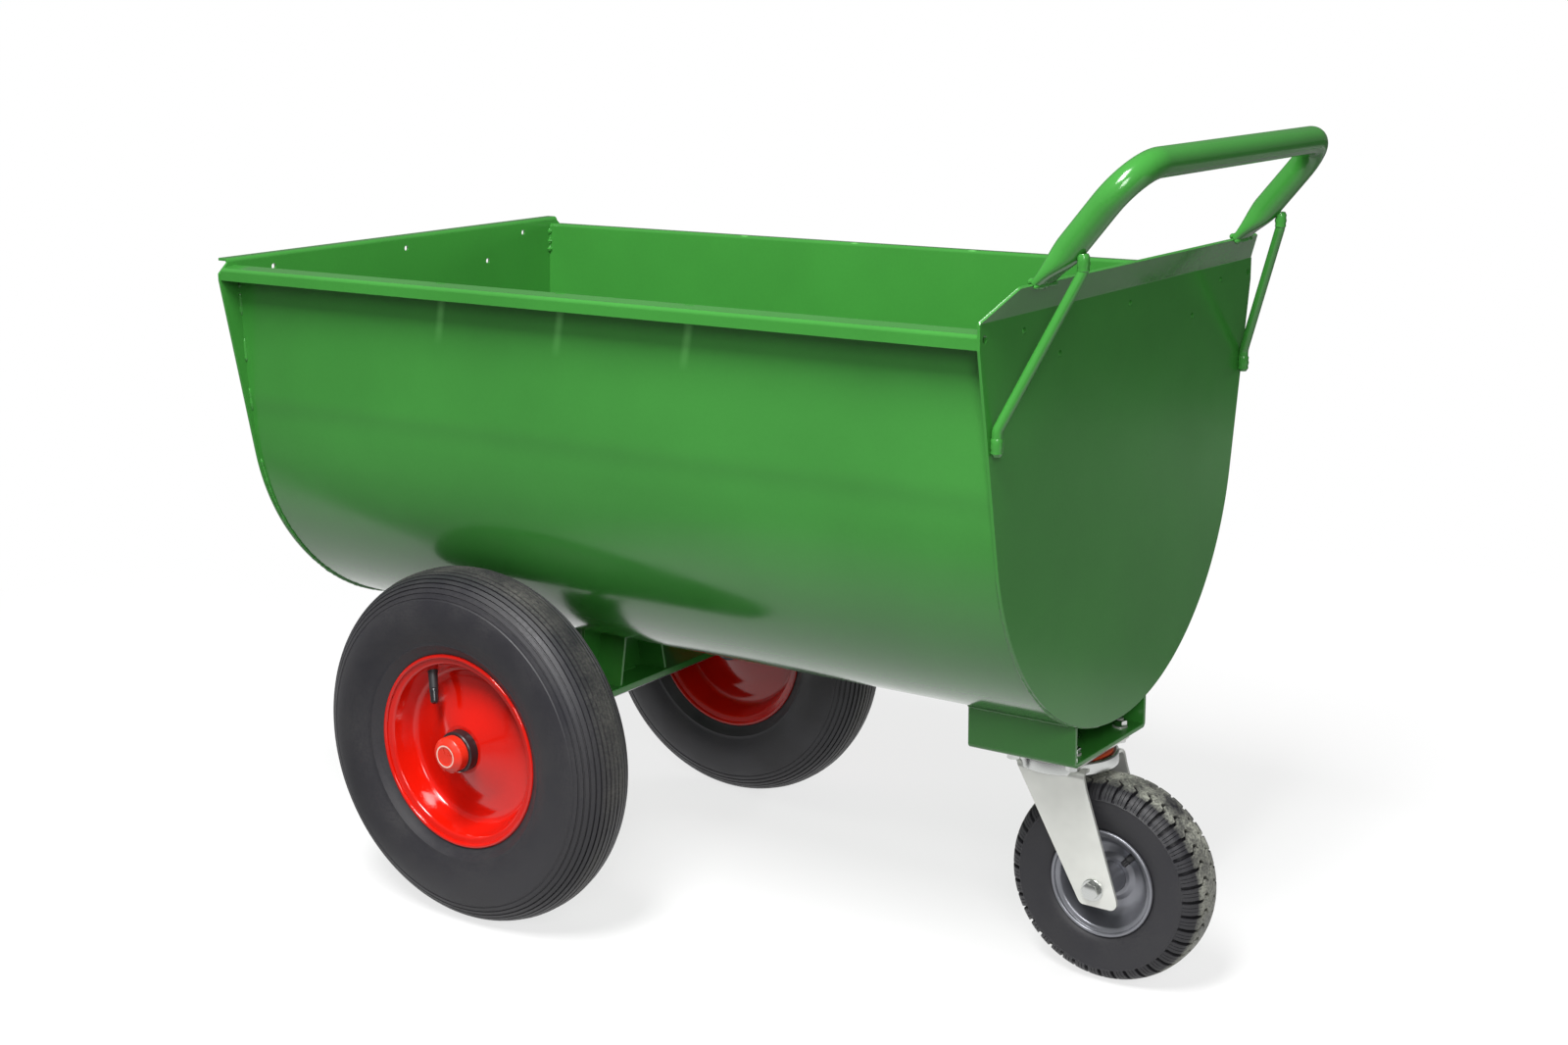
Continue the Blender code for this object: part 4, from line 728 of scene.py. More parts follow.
# Axle: a plain bright steel rod right across the cart, in the carrier's bar. Stop collars keep
# the wheels apart, and an orange plastic cap is pressed over each end.
AXLE_CHAMFER = 0.0012
CAP_FACE_Y = 0.2998
CAP_RADIUS = 0.020
CAP_LENGTH = 0.0155
CAP_WALL = 0.0015
CAP_GAP = 0.0018
CAP_RING = 0.0118
CAP_RING_EDGE = (0.0006, 0.0010)
CAP_GRAIN = 0.00001
SCRATCH_DEPTH = 0.000006
STEEL = (0.33, 0.33, 0.34, 1.0)
ORANGE = (0.740, 0.030, 0.012, 1.0)
PRINT = (0.80, 0.72, 0.62, 1.0)
# Local Z of a turned piece becomes the cart's -Y or +Y
OUT_LEFT = Matrix.Rotation(math.pi / 2, 4, "X")
OUT_RIGHT = Matrix.Rotation(-math.pi / 2, 4, "X")


def plated_metal():
    """Plated or bare metal: patches of tint, fine scratches and uneven gloss."""
    tree, given = effect_group("plated_metal", {"Colour": STEEL, "Gloss": 0.3})
    place = own_place(tree)
    tint = fine_noise(tree, place, 30.0, 2.0, 0.95, 1.04)
    patches = fine_noise(tree, place, 35.0, 3.0, 0.85, 1.2)
    stretched = add_node(tree, "ShaderNodeMapping", {"Vector": place, "Scale": (1.0, 1.0, 9.0)})
    scratch = fine_noise(tree, stretched.outputs["Vector"], 260.0, 4.0, 0.0, 1.0)
    group_out(tree, shaded_by(tree, given["Colour"], tint),
              math_of(tree, "MULTIPLY", given["Gloss"], patches),
              bumped(tree, scratch, SCRATCH_DEPTH))


def metal(name, colour, gloss, metallic=1.0):
    """Metal of a colour and a gloss, or a paler plating where it is less metallic."""
    return coated(name, "plated_metal", {"Colour": colour, "Gloss": gloss}, metallic)


def from_axis(tree, place):
    """How far a spot is from a turned piece's own axis."""
    flat = add_node(tree, "ShaderNodeVectorMath", {0: place, 1: (1.0, 1.0, 0.0)},
                    operation="MULTIPLY").outputs["Vector"]
    return add_node(tree, "ShaderNodeVectorMath", {0: flat}, operation="LENGTH").outputs["Value"]


def cap_plastic():
    """Orange moulded plastic with a pale printed ring on its face."""
    made, tree, shader = blank_material("cap_plastic")
    place = own_place(tree)
    away = math_of(tree, "ABSOLUTE", math_of(tree, "SUBTRACT", from_axis(tree, place), CAP_RING))
    moulded = shaded_by(tree, ORANGE[:3], fine_noise(tree, place, 90.0, 3.0, 0.92, 1.06))
    grain = fine_noise(tree, place, 500.0, 2.0, 0.0, 1.0)
    surfaced(tree, shader,
             mixed_colour(tree, ranged(tree, away, *CAP_RING_EDGE, 0.75, 0.0), moulded, PRINT),
             fine_noise(tree, place, 60.0, 3.0, 0.24, 0.38), bumped(tree, grain, CAP_GRAIN))
    return made


def turned(name, profile, steps, is_loop=False):
    """A piece turned on its local Z from (radius, height) points."""
    turns = [2 * math.pi * step / steps for step in range(steps)]
    rings = [[(radius * math.cos(turn), radius * math.sin(turn), height) for turn in turns]
             for radius, height in profile]
    return skin(name, rings, is_loop)


plated_metal()
bare_steel = metal("axle_steel", STEEL, 0.34)
half = CAP_FACE_Y - CAP_GAP
rod = [(0.0, -half), (AXLE_RADIUS - AXLE_CHAMFER, -half), (AXLE_RADIUS, AXLE_CHAMFER - half),
       (AXLE_RADIUS, half - AXLE_CHAMFER), (AXLE_RADIUS - AXLE_CHAMFER, half), (0.0, half)]
fit("axle_rod", turned("axle_rod", rod, 48), bare_steel, "cart", "bare_steel", "axle_shaft",
    place=at(AXLE_X, 0, AXLE_Z) @ OUT_LEFT)

# The cap's face has a flat middle, a raised ring round it and a bevelled edge
cap_profile = rounded([(0.0, -0.0006), (0.0090, -0.0006), (0.0102, 0.0), (0.0140, 0.0),
                       (CAP_RADIUS, -0.0048), (CAP_RADIUS, -CAP_LENGTH)],
                      [0.001, 0.001, 0.003, 0.003], 5)
cap_profile += [(CAP_RADIUS - CAP_WALL, -CAP_LENGTH), (CAP_RADIUS - CAP_WALL, -0.0060),
                (0.0, -0.0030)]
cap_mesh = turned("cap", cap_profile, 64)
orange_plastic = cap_plastic()
for (side_name, side), turn in zip(SIDES, (OUT_LEFT, OUT_RIGHT)):
    fit(f"cap_{side_name}", cap_mesh, orange_plastic, "cart", "orange_plastic",
        f"hub_cap_{side_name}", place=at(AXLE_X, side * CAP_FACE_Y, AXLE_Z) @ turn)


# Tyres of the large wheels: 4.80/4.00-8 barrow tyres, black rubber, a round casing with fine
# ribs all round the tread and smooth flanks, seated in the rim's flanges.
WHEEL_Y = 0.2503
TYRE_CENTRE = 0.1505
TYRE_HEIGHT = 0.0492
TYRE_HALF_WIDTH = 0.0454
TYRE_POWER = 2.3
FLANK_DEPTH = 0.0526
FLANK_TURNS = (0.12, 0.24, 0.36, 0.48)
RIBS = 9
RIB_PITCH = 0.0062
RIB_PROUD = 0.0003
# From a rib's middle: its half width, and where the floor of the groove beside it lies
RIB_HALF = 0.0021
GROOVE = (0.0026, 0.0036)
GROOVE_DEPTH = 0.0019
GROOVE_FADE = 0.0003
SHOULDER_FROM = 0.0015
SHOULDER_STEP = 0.003
RUBBER_GRAIN = 0.00003
RUBBER = (0.016, 0.0155, 0.020, 1.0)
DUST = (0.078, 0.076, 0.083, 1.0)
ROAD_DUST = (0.230, 0.220, 0.190, 1.0)
# From these radii in the tread's grooves to its crown, the dust grows by these amounts
ROAD_DUST_REACH = (0.1955, 0.1993)
ROAD_DUST_AMOUNT = (0.08, 0.42)
# The section from the widest point down over the rim guard to the bead, and back inside
TYRE_GUARD = [(0.1225, 0.0389), (0.1217, 0.0391), (0.1205, 0.0382), (0.1175, 0.0358),
              (0.1125, 0.0318), (0.1095, 0.0305), (0.1050, 0.0282), (0.1008, 0.0256),
              (0.1002, 0.0210), (0.1080, 0.0230), (0.1300, 0.0360), (0.1600, 0.0390),
              (0.1800, 0.0330), (0.1885, 0.0180), (0.1900, 0.0)]


def rubber_bloom():
    """Moulded rubber: a dusty bloom in patches, pale specks and a fine grain."""
    tree, given = effect_group("rubber_bloom", {"Colour": RUBBER, "Dust": DUST, "Amount": 0.3})
    place = own_place(tree)
    bloom = fine_noise(tree, place, 18.0, 5.0, 0.0, 1.0)
    specks = fine_noise(tree, place, 420.0, 2.0, 0.2, 1.0)
    grain = fine_noise(tree, place, 1500.0, 2.0, 0.0, 1.0)
    both = math_of(tree, "MULTIPLY", bloom, specks)
    dusty = math_of(tree, "MULTIPLY", both, given["Amount"])
    group_out(tree, mixed_colour(tree, dusty, given["Colour"], given["Dust"]),
              ranged(tree, both, 0.0, 1.0, 0.46, 0.72), bumped(tree, grain, RUBBER_GRAIN))


def trodden_rubber(name, dust, reaches, amounts):
    """Tyre rubber with more dust on its crown: from one reach and amount to the other."""
    made, tree, shader = blank_material(name)
    worn = ranged(tree, from_axis(tree, own_place(tree)), *reaches, *amounts)
    bloomed = add_node(tree, "ShaderNodeGroup", {"Dust": dust, "Amount": worn},
                       node_tree=bpy.data.node_groups["rubber_bloom"]).outputs
    surfaced(tree, shader, bloomed["Colour"], bloomed["Roughness"], bloomed["Normal"])
    return made


def casing(centre, height, half_width, power):
    """The tyre's outer side from the crown to its widest, closely spaced (radius, side) points."""
    made = []
    for step in range(301):
        turn = math.pi / 2 * (1 - step / 300)
        made.append(Vector((centre + height * math.sin(turn) ** (2 / power),
                            half_width * math.cos(turn) ** (2 / power))))
    return made


def on_casing(points, length, sink):
    """The point a length along the casing, sunk into it."""
    for before, after in zip(points, points[1:]):
        step = (after - before).length
        if length <= step:
            way = (after - before) / step
            return before + way * length + Vector((-way.y, way.x)) * sink
        length -= step
    return points[-1]


def ribbed_tread():
    """Half of the tread: ribs with narrow grooves between, shallower near the shoulder."""
    points = casing(TYRE_CENTRE, TYRE_HEIGHT, TYRE_HALF_WIDTH, TYRE_POWER)
    made = [points[0]]
    for rib in range(RIBS):
        middle = rib * RIB_PITCH
        deep = GROOVE_DEPTH - GROOVE_FADE * max(rib - 4, 0)
        sink = -RIB_PROUD if rib == 1 else 0.0
        if rib:
            made.append(on_casing(points, middle - RIB_HALF, sink))
        made.append(on_casing(points, middle + RIB_HALF, sink))
        made += [on_casing(points, middle + aside, deep) for aside in GROOVE]
    reach = RIBS * RIB_PITCH - SHOULDER_FROM
    while (on_casing(points, reach, 0.0) - points[-1]).length > SHOULDER_STEP:
        made.append(on_casing(points, reach, 0.0))
        reach += SHOULDER_STEP
    return made + [points[-1]]


def tyre_mesh():
    """The whole section, from the inside over both flanks and the crown, turned."""
    flank = [(TYRE_CENTRE - FLANK_DEPTH * math.sin(turn), TYRE_HALF_WIDTH * math.cos(turn))
             for turn in FLANK_TURNS]
    half = ribbed_tread() + flank + TYRE_GUARD
    section = [(radius, -side) for radius, side in reversed(half[1:-1])] + half
    return turned("tyre", section, 144, is_loop=True)


rubber_bloom()
black_rubber = trodden_rubber("tyre_rubber", ROAD_DUST, ROAD_DUST_REACH, ROAD_DUST_AMOUNT)
large_tyre = tyre_mesh()
wheel_places = {"left": at(AXLE_X, -WHEEL_Y, AXLE_Z) @ OUT_LEFT,
                "right": at(AXLE_X, WHEEL_Y, AXLE_Z) @ OUT_RIGHT}
for side_name, place in wheel_places.items():
    fit(f"{side_name}_tyre_casing", large_tyre, black_rubber, f"{side_name}_wheel", "tyre_rubber",
        f"{side_name}_tyre", place=place)


# Rims of the large wheels: each of two halves pressed from 2 mm sheet, dished, with rolled lips,
# set back to back and welded to the hub, in glossy red enamel.
RIM_SHEET = 0.002
RED = (0.600, 0.007, 0.002, 1.0)
# A half from the hub out: collar, dish, flat, seat wall, seat and lip, and how each is rounded
LARGE_RIM = [(0.0233, 0.0210), (0.0270, 0.0210), (0.0600, 0.0063), (0.0800, 0.00125),
             (0.0890, 0.00125), (0.0990, 0.0274), (0.1056, 0.0288), (0.1070, 0.0304)]
LARGE_RIM_ROUNDS = [0.004, 0.060, 0.030, 0.0075, 0.003, 0.001]
LARGE_LIP = ((0.1073, 0.0304), 0.0025)
TURNED_ROUND = Matrix.Rotation(math.pi, 4, "X")
RIM_HALVES = (("face", "outer", Matrix()), ("back", "inner", TURNED_ROUND))


def walled(line, thickness):
    """A sheet's closed section: its middle line moved half the thickness to either side."""
    points = [Vector(point) for point in line]
    shifts = []
    for index, point in enumerate(points):
        into = (point - points[index - 1] if index else points[1] - point).normalized()
        out = (points[index + 1] - point if index < len(points) - 1 else into).normalized()
        mitre = Vector((-into.y - out.y, into.x + out.x)).normalized()
        shifts.append(mitre * thickness / 2 / mitre.dot(Vector((-into.y, into.x))))
    outer = [point + shift for point, shift in zip(points, shifts)]
    inner = [point - shift for point, shift in zip(points, shifts)]
    return outer + inner[::-1]


def joined(name, meshes):
    """Several meshes as one piece."""
    bm = bmesh.new()
    for mesh in meshes:
        bm.from_mesh(mesh)
    return sharp_edged(finished(name, bm))


def rim_half(name, corners, rounds, lip, steps):
    """A pressed rim half from the hub out, with its edge rolled round a lip of a radius."""
    sheet = turned(name, walled(rounded(corners, rounds, 8), RIM_SHEET), steps, is_loop=True)
    roll = turned(name, arc(*lip, 0.0, 2 * math.pi, 16)[:-1], steps, is_loop=True)
    return joined(name, [sheet, roll])


red_enamel = enamel("red_enamel", RED, 0.10, 0.00006)
large_rim = rim_half("rim_half", LARGE_RIM, LARGE_RIM_ROUNDS, LARGE_LIP, 128)
for side_name, place in wheel_places.items():
    for face, half, turn in RIM_HALVES:
        fit(f"{side_name}_rim_{face}", large_rim, red_enamel, f"{side_name}_wheel", "red_paint",
            f"{side_name}_rim_{half}_half", place=place @ turn)


# Hubs of the large wheels: a steel sleeve welded through both rim halves, left satin black,
# with a bearing pressed into each end.
HUB_RADIUS = 0.023
HUB_HALF_LENGTH = 0.0337
HUB_BORE = 0.0178
HUB_ROUND = 0.0012
BORE_CHAMFER = 0.0006
BLACK = (0.016, 0.016, 0.018, 1.0)


def hub_sleeve(radius, half_length, bore):
    """The sleeve's section, its outer edges turned off round."""
    half = [(bore, 0.0), (bore, half_length - BORE_CHAMFER), (bore + BORE_CHAMFER, half_length),
            (radius - HUB_ROUND, half_length), (radius, half_length - HUB_ROUND), (radius, 0.0)]
    lower = [(reach, -height) for reach, height in reversed(half[1:-1])]
    return turned("hub_sleeve", half + lower, 96, is_loop=True)


black_paint = enamel("hub_black", BLACK, 0.30, 0.00003)
large_hub = hub_sleeve(HUB_RADIUS, HUB_HALF_LENGTH, HUB_BORE)
for side_name, place in wheel_places.items():
    fit(f"{side_name}_hub_tube", large_hub, black_paint, f"{side_name}_wheel", "hub_black",
        f"{side_name}_hub_sleeve", place=place)


# Valves: a black rubber stem through each rim's seat, leaning out, with a black plastic cap
# screwed on its end.
VALVE_LEAN = math.radians(-64.0)
# Turn round the wheel, reach from the axle, place along it, length and radius
LARGE_VALVE = (math.radians(120.0), 0.0943, 0.0137, 0.040, 0.0052)
# Each as shares of the valve's radius and length: the stem over its foot, and the cap
VALVE_FOOT = ((0.0, -0.004), (1.25, -0.004), (1.2, 0.0006), (1.0, 0.0040))
VALVE_STEM = ((0.94, 0.56), (0.72, 0.60), (0.0, 0.60))
VALVE_CAP = ((0.0, 0.58), (0.90, 0.58), (0.98, 0.60), (0.98, 0.66), (0.88, 0.68), (0.86, 0.94),
             (0.62, 0.985), (0.0, 1.0))


def rubber(name, colour, amount):
    """Plain moulded rubber with an amount of dust."""
    return coated(name, "rubber_bloom", {"Colour": colour, "Dust": DUST, "Amount": amount})


def fit_valve(prefix, body, wheel_place, turn, reach, out, length, radius):
    """A valve at a turn round the wheel, standing on the rim at a reach from the axle."""
    lean = Matrix.Rotation(VALVE_LEAN, 4, "Y")
    stand = wheel_place @ Matrix.Rotation(turn, 4, "Z") @ at(reach, 0, out) @ lean
    stem = [(radius * wide, height) for wide, height in VALVE_FOOT]
    stem += [(radius * wide, length * share) for wide, share in VALVE_STEM]
    cap = [(radius * wide, length * share) for wide, share in VALVE_CAP]
    fit(f"{prefix}_valve_stem", turned("valve_stem", stem, 32), stem_rubber, body, "tube_rubber",
        f"{prefix}_valve", place=stand)
    fit(f"{prefix}_valve_cap", turned("valve_cap", cap, 32), cap_black, body, "tube_rubber",
        place=stand)


stem_rubber = rubber("stem_rubber", BLACK, 0.10)
cap_black = enamel("cap_black", BLACK, 0.22, 0.00002)
for side_name, place in wheel_places.items():
    fit_valve(side_name, f"{side_name}_wheel", place, *LARGE_VALVE)


# Caster seat: a channel folded from 5 mm plate, its two flanges welded to the belly, and a zinc
# plate held under it by four bolts, their nuts and washers inside the channel.
CHANNEL_X = (0.3025, 0.425)
CHANNEL_Z = 0.2469
CHANNEL_HALF_WIDTH = 0.0805
CHANNEL_THICKNESS = 0.005
CHANNEL_BEND = 0.0056
CHANNEL_EDGE = 0.0008
CHANNEL_BEAD = 0.0026
CHANNEL_BEAD_LIFT = 0.0004
KINGPIN_X = 0.375
KINGPIN_BORE = 0.015
TOP_PLATE_Z = 0.2407
TOP_PLATE_THICKNESS = 0.0059
TOP_PLATE_HALF = (0.044, 0.061)
TOP_PLATE_ROUND = 0.008
TOP_PLATE_EDGE = 0.0006
SEAT_BOLTS = ((-0.034, -0.0525), (-0.034, 0.0525), (0.034, -0.0525), (0.034, 0.0525))
SEAT_FLATS = 0.013
SEAT_HEAD = 0.0053
SEAT_NUT = 0.0065
SEAT_WASHER = 0.0012
SHANK_RADIUS = 0.0040
SHANK_TOP_Z = 0.2616
THREAD_FROM = 0.0006
THREAD_TURNS = 22
THREAD_PITCH = 0.00085
THREAD_DEPTH = 0.0004
SEAT_TURN = 0.7
# The gap between bolted faces
HAIR = 0.0001
ZINC = (0.780, 0.790, 0.745, 1.0)
DULL_ZINC = (0.600, 0.615, 0.600, 1.0)


def hex_piece(name, flats, height, bore, both_ends):
    """A hexagon with turned-off corners, on one end or both, and a bore or none."""
    ring_turns = [math.pi / 3 * (side + step / 8) for side in range(6) for step in range(8)]
    chamfer_from = flats / 2 * 0.96

    def reach(turn):
        return flats / 2 / math.cos((turn + math.pi / 6) % (math.pi / 3) - math.pi / 6)

    def ring(radius, level):
        return [(radius * math.cos(turn), radius * math.sin(turn), level) for turn in ring_turns]

    def corners(sign, level):
        made = []
        for turn in ring_turns:
            cut = max(reach(turn) - chamfer_from, 0.0) * math.tan(math.radians(30))
            made.append((reach(turn) * math.cos(turn), reach(turn) * math.sin(turn),
                         level - sign * cut))
        return made

    rings = [ring(bore, height), ring(chamfer_from, height), corners(1, height)]
    if both_ends:
        rings += [corners(-1, 0.0), ring(chamfer_from, 0.0)]
    else:
        rings += [[(x, y, 0.0) for x, y, _ in corners(1, 0.0)]]
    rings.append(ring(bore, 0.0))
    return skin(name, rings, is_loop=bore > 0)


def thread(radius, start, pitch, turns):
    """Points along a threaded rod's outline: a crest and a root for each turn."""
    return [point for turn in range(turns)
            for point in ((radius, start + pitch * turn),
                          (radius - THREAD_DEPTH, start + pitch * (turn + 0.5)))]


inner = CHANNEL_HALF_WIDTH - CHANNEL_THICKNESS
floor_z = CHANNEL_Z + CHANNEL_THICKNESS
inside_line = rounded([(-inner, belly_z(inner)), (-inner, floor_z), (inner, floor_z),
                       (inner, belly_z(inner))], [CHANNEL_BEND - CHANNEL_THICKNESS] * 2, 8)
channel_rows = [[(x, y, z) for y, z in inside_line] for x in CHANNEL_X]
channel = formed_sheet("caster_seat", channel_rows, CHANNEL_THICKNESS, CHANNEL_EDGE)
channel = drilled(channel, [((KINGPIN_X, 0, CHANNEL_Z), KINGPIN_BORE, 0.03, Matrix())])
fit_green("caster_seat", smoothed(channel), "caster_channel")
for side_name, side in SIDES:
    y = side * (CHANNEL_HALF_WIDTH + CHANNEL_BEAD_LIFT)
    seam = [(x, y, belly_z(abs(y)) - CHANNEL_BEAD_LIFT) for x in CHANNEL_X]
    weld_bead(f"channel_seam_{side_name}", seam, (0, 1, 0), CHANNEL_BEAD)

bright_zinc = metal("bright_zinc", ZINC, 0.34, 0.6)
bolt_zinc = metal("bolt_zinc", DULL_ZINC, 0.20)
half_x, half_y = TOP_PLATE_HALF
wrapped = [(0.0, -half_y), (half_x, -half_y), (half_x, half_y), (-half_x, half_y),
           (-half_x, -half_y), (0.0, -half_y)]
plate_outline = rounded(wrapped, [TOP_PLATE_ROUND] * 4, 8)[:-1]
top_plate = cut_plate("caster_seat_plate", plate_outline, TOP_PLATE_THICKNESS, TOP_PLATE_EDGE,
                      at(KINGPIN_X, 0, TOP_PLATE_Z + TOP_PLATE_THICKNESS / 2))
fit("caster_seat_plate", smoothed(top_plate), bright_zinc, "cart", "zinc", "caster_top_plate")

bolt_head = hex_piece("seat_bolt_head", SEAT_FLATS, SEAT_HEAD, 0.0, False)
nut = hex_piece("seat_nut", SEAT_FLATS, SEAT_NUT, SHANK_RADIUS, True)
washer = turned("seat_washer", [(0.0043, 0.0), (0.0043, SEAT_WASHER), (0.0080, SEAT_WASHER),
                                (0.0082, 0.0010), (0.0082, 0.0)], 48, is_loop=True)
shank = [(0.0, 0.0), (SHANK_RADIUS - THREAD_FROM, 0.0), (SHANK_RADIUS, THREAD_FROM)]
shank += thread(SHANK_RADIUS, THREAD_FROM, THREAD_PITCH, THREAD_TURNS)
shank += [(SHANK_RADIUS, THREAD_FROM + THREAD_PITCH * THREAD_TURNS), (0.0, 0.0200)]
shank_mesh = turned("seat_bolt_thread", shank, 24)
for number, (x, y) in enumerate(SEAT_BOLTS, 1):
    stand = at(KINGPIN_X + x, y, 0)
    spin = Matrix.Rotation(SEAT_TURN * number, 4, "Z")
    in_channel = stand @ at(0, 0, floor_z + HAIR)
    fit(f"seat_bolt_head_{number}", bolt_head, bolt_zinc, "cart", "zinc",
        f"caster_plate_bolt_{number}",
        place=stand @ at(0, 0, TOP_PLATE_Z - HAIR) @ TURNED_ROUND @ spin)
    fit(f"seat_bolt_thread_{number}", shank_mesh, bright_zinc, "cart", "zinc",
        place=stand @ at(0, 0, SHANK_TOP_Z) @ TURNED_ROUND)
    fit(f"seat_washer_{number}", washer, bright_zinc, "cart", "zinc", place=in_channel)
    fit(f"seat_nut_{number}", nut, bolt_zinc, "cart", "zinc", f"caster_plate_nut_{number}",
        place=in_channel @ at(0, 0, SEAT_WASHER) @ spin)


# Swivel: two rows of balls in pressed races under the plate, closed by an orange seal ring. The
# zinc bell over the fork's crown turns with it on a kingpin that is riveted over above the plate.
HEAD_TOP_Z = 0.2372
HEAD_RADIUS = 0.0535
BELL_BORE = 0.0070
BELL_DEPTH = 0.0070
FORK_TOP_Z = 0.2325
SEAL_RADIUS = 0.0480
SEAL_WIDTH = 0.010
SEAL_GAP = 0.0003
SEAL_ROUND = 0.0015
PIN_RADIUS = 0.006
PIN_END_Z = 0.2207
# Across its flats, its height and its bore
KINGPIN_NUT = (0.019, 0.008, 0.0062)
SEAL = (0.520, 0.060, 0.012, 1.0)

at_kingpin = at(KINGPIN_X, 0, 0)
seal_low, seal_high = HEAD_TOP_Z + SEAL_GAP, TOP_PLATE_Z - SEAL_GAP
seal_profile = rounded([(SEAL_RADIUS - SEAL_WIDTH, seal_low), (SEAL_RADIUS, seal_low),
                        (SEAL_RADIUS, seal_high), (SEAL_RADIUS - SEAL_WIDTH, seal_high)],
                       [SEAL_ROUND, SEAL_ROUND], 5)
seal_plastic = enamel("seal_plastic", SEAL, 0.40, 0.00002)
fit("swivel_seal", turned("swivel_seal", seal_profile, 96, is_loop=True), seal_plastic,
    "caster_swivel", "orange_plastic", "caster_seal_ring", place=at_kingpin)

bell_foot = FORK_TOP_Z - BELL_DEPTH
bell_under = FORK_TOP_Z + SEAL_GAP
bell_line = rounded([(BELL_BORE, HEAD_TOP_Z), (HEAD_RADIUS - 0.0045, HEAD_TOP_Z),
                     (HEAD_RADIUS - 0.0030, HEAD_TOP_Z + 0.0012),
                     (HEAD_RADIUS, HEAD_TOP_Z + 0.0006), (HEAD_RADIUS + 0.0004, bell_foot),
                     (HEAD_RADIUS - 0.0016, bell_foot), (HEAD_RADIUS - 0.0022, bell_under),
                     (BELL_BORE, bell_under)],
                    [0.001, 0.001, 0.0015, 0.0008, 0.0008, 0.001], 6)
fit("swivel_bell", turned("swivel_bell", bell_line, 96, is_loop=True), bolt_zinc,
    "caster_swivel", "zinc", "caster_swivel_head", place=at_kingpin)

# The pin's riveted dome above the plate, then its shank down through the nut
pin = [(radius, TOP_PLATE_Z + height)
       for radius, height in ((0.0, 0.0112), (PIN_RADIUS, 0.0110), (0.0105, 0.0096),
                              (0.0130, 0.0072), (0.0130, 0.0062), (PIN_RADIUS, 0.0062))]
pin += [(PIN_RADIUS, PIN_END_Z), (PIN_RADIUS - 0.0008, PIN_END_Z - 0.0010),
        (0.0, PIN_END_Z - 0.0010)]
fit("kingpin_rivet", turned("kingpin_rivet", pin, 48), bolt_zinc, "cart", "zinc",
    "caster_kingpin", place=at_kingpin)
fit("kingpin_hex", hex_piece("kingpin_hex", *KINGPIN_NUT, True), bright_zinc, "cart", "zinc",
    "kingpin_nut", place=at_kingpin @ at(0, 0, PIN_END_Z))


# Fork: one strip of 3.5 mm steel pressed into a U over the small wheel, its legs trailing back
# to the axle, bright zinc plated.
FORK_THICKNESS = 0.0035
FORK_EDGE = 0.0007
FORK_HALF_WIDTH = 0.0475
FORK_BEND = 0.008
FORK_FOOT_DROP = 0.0180
# The leg's foot ahead of and behind the wheel's axle, its crown ahead of and behind the kingpin,
# and the corner behind the kingpin from which its rear edge slants down
FORK_FOOT = (-0.0140, 0.0305)
FORK_CROWN = (-0.0345, 0.0415)
FORK_BACK = (0.046, -0.016)
CASTER_AXLE = Vector((0.4315, 0.0, 0.109))
# Heights of the leg's cross rows above its round foot, close together where it curves, and then
# evenly up to the crown's bend
FOOT_ROWS = (0.00001, 0.0002, 0.0006, 0.0014, 0.0026, 0.0045, 0.007, 0.011, 0.018)
LEG_ROWS = 13
LEG_ROW_STEP = 0.0082
BOLT_RADIUS = 0.0050
BOLT_FLATS = 0.0165
BOLT_HEAD = 0.0064
BOLT_TURN = 0.35
BOLT_WASHER = 0.0016
BOLT_THREAD_FROM = 0.0445
BOLT_TURNS = 13
BOLT_PITCH = 0.001
NUT_FLATS = 0.017
NUT_HEIGHT = 0.008
NUT_BORE = 0.0051


def fork_side_line():
    """One side of the fork seen square on, as a closed loop of X and Z points."""
    foot = CASTER_AXLE.z - FORK_FOOT_DROP
    front, back = (KINGPIN_X + reach for reach in FORK_CROWN)
    corners = [(front, FORK_TOP_Z + 0.005), (front, FORK_TOP_Z - 0.002),
               (CASTER_AXLE.x + FORK_FOOT[0], foot), (CASTER_AXLE.x + FORK_FOOT[1], foot),
               (KINGPIN_X + FORK_BACK[0], FORK_TOP_Z + FORK_BACK[1]), (back, FORK_TOP_Z + 0.005)]
    return rounded(corners, [0.002, 0.008, 0.008, 0.010], 8)


def span_at(loop, height):
    """Front and back of a closed loop at a height."""
    found = []
    for before, after in zip(loop, loop[1:] + loop[:1]):
        if min(before.y, after.y) <= height <= max(before.y, after.y) and before.y != after.y:
            share = (height - before.y) / (after.y - before.y)
            found.append(before.x + (after.x - before.x) * share)
    return min(found), max(found)


foot_z = CASTER_AXLE.z - FORK_FOOT_DROP
levels = [foot_z + rise for rise in FOOT_ROWS]
levels += [levels[-1] + LEG_ROW_STEP * step for step in range(1, LEG_ROWS + 1)]
bend = rounded([(-FORK_HALF_WIDTH, levels[-1]), (-FORK_HALF_WIDTH, FORK_TOP_Z),
                (FORK_HALF_WIDTH, FORK_TOP_Z), (FORK_HALF_WIDTH, levels[-1])],
               [FORK_BEND, FORK_BEND], 8)
fork_line = [(-FORK_HALF_WIDTH, level) for level in levels[:-1]] + bend
fork_line += [(FORK_HALF_WIDTH, level) for level in reversed(levels[:-1])]
side_line = fork_side_line()
fork_rows = []
for y, z in fork_line:
    low_x, high_x = span_at(side_line, z)
    fork_rows.append([(high_x + (low_x - high_x) * step / 12, y, z) for step in range(13)])
fork_mesh = formed_sheet("fork_strip", fork_rows, FORK_THICKNESS, FORK_EDGE)
fork_mesh = drilled(fork_mesh, [((KINGPIN_X, 0, FORK_TOP_Z), BELL_BORE, 0.02, Matrix())])
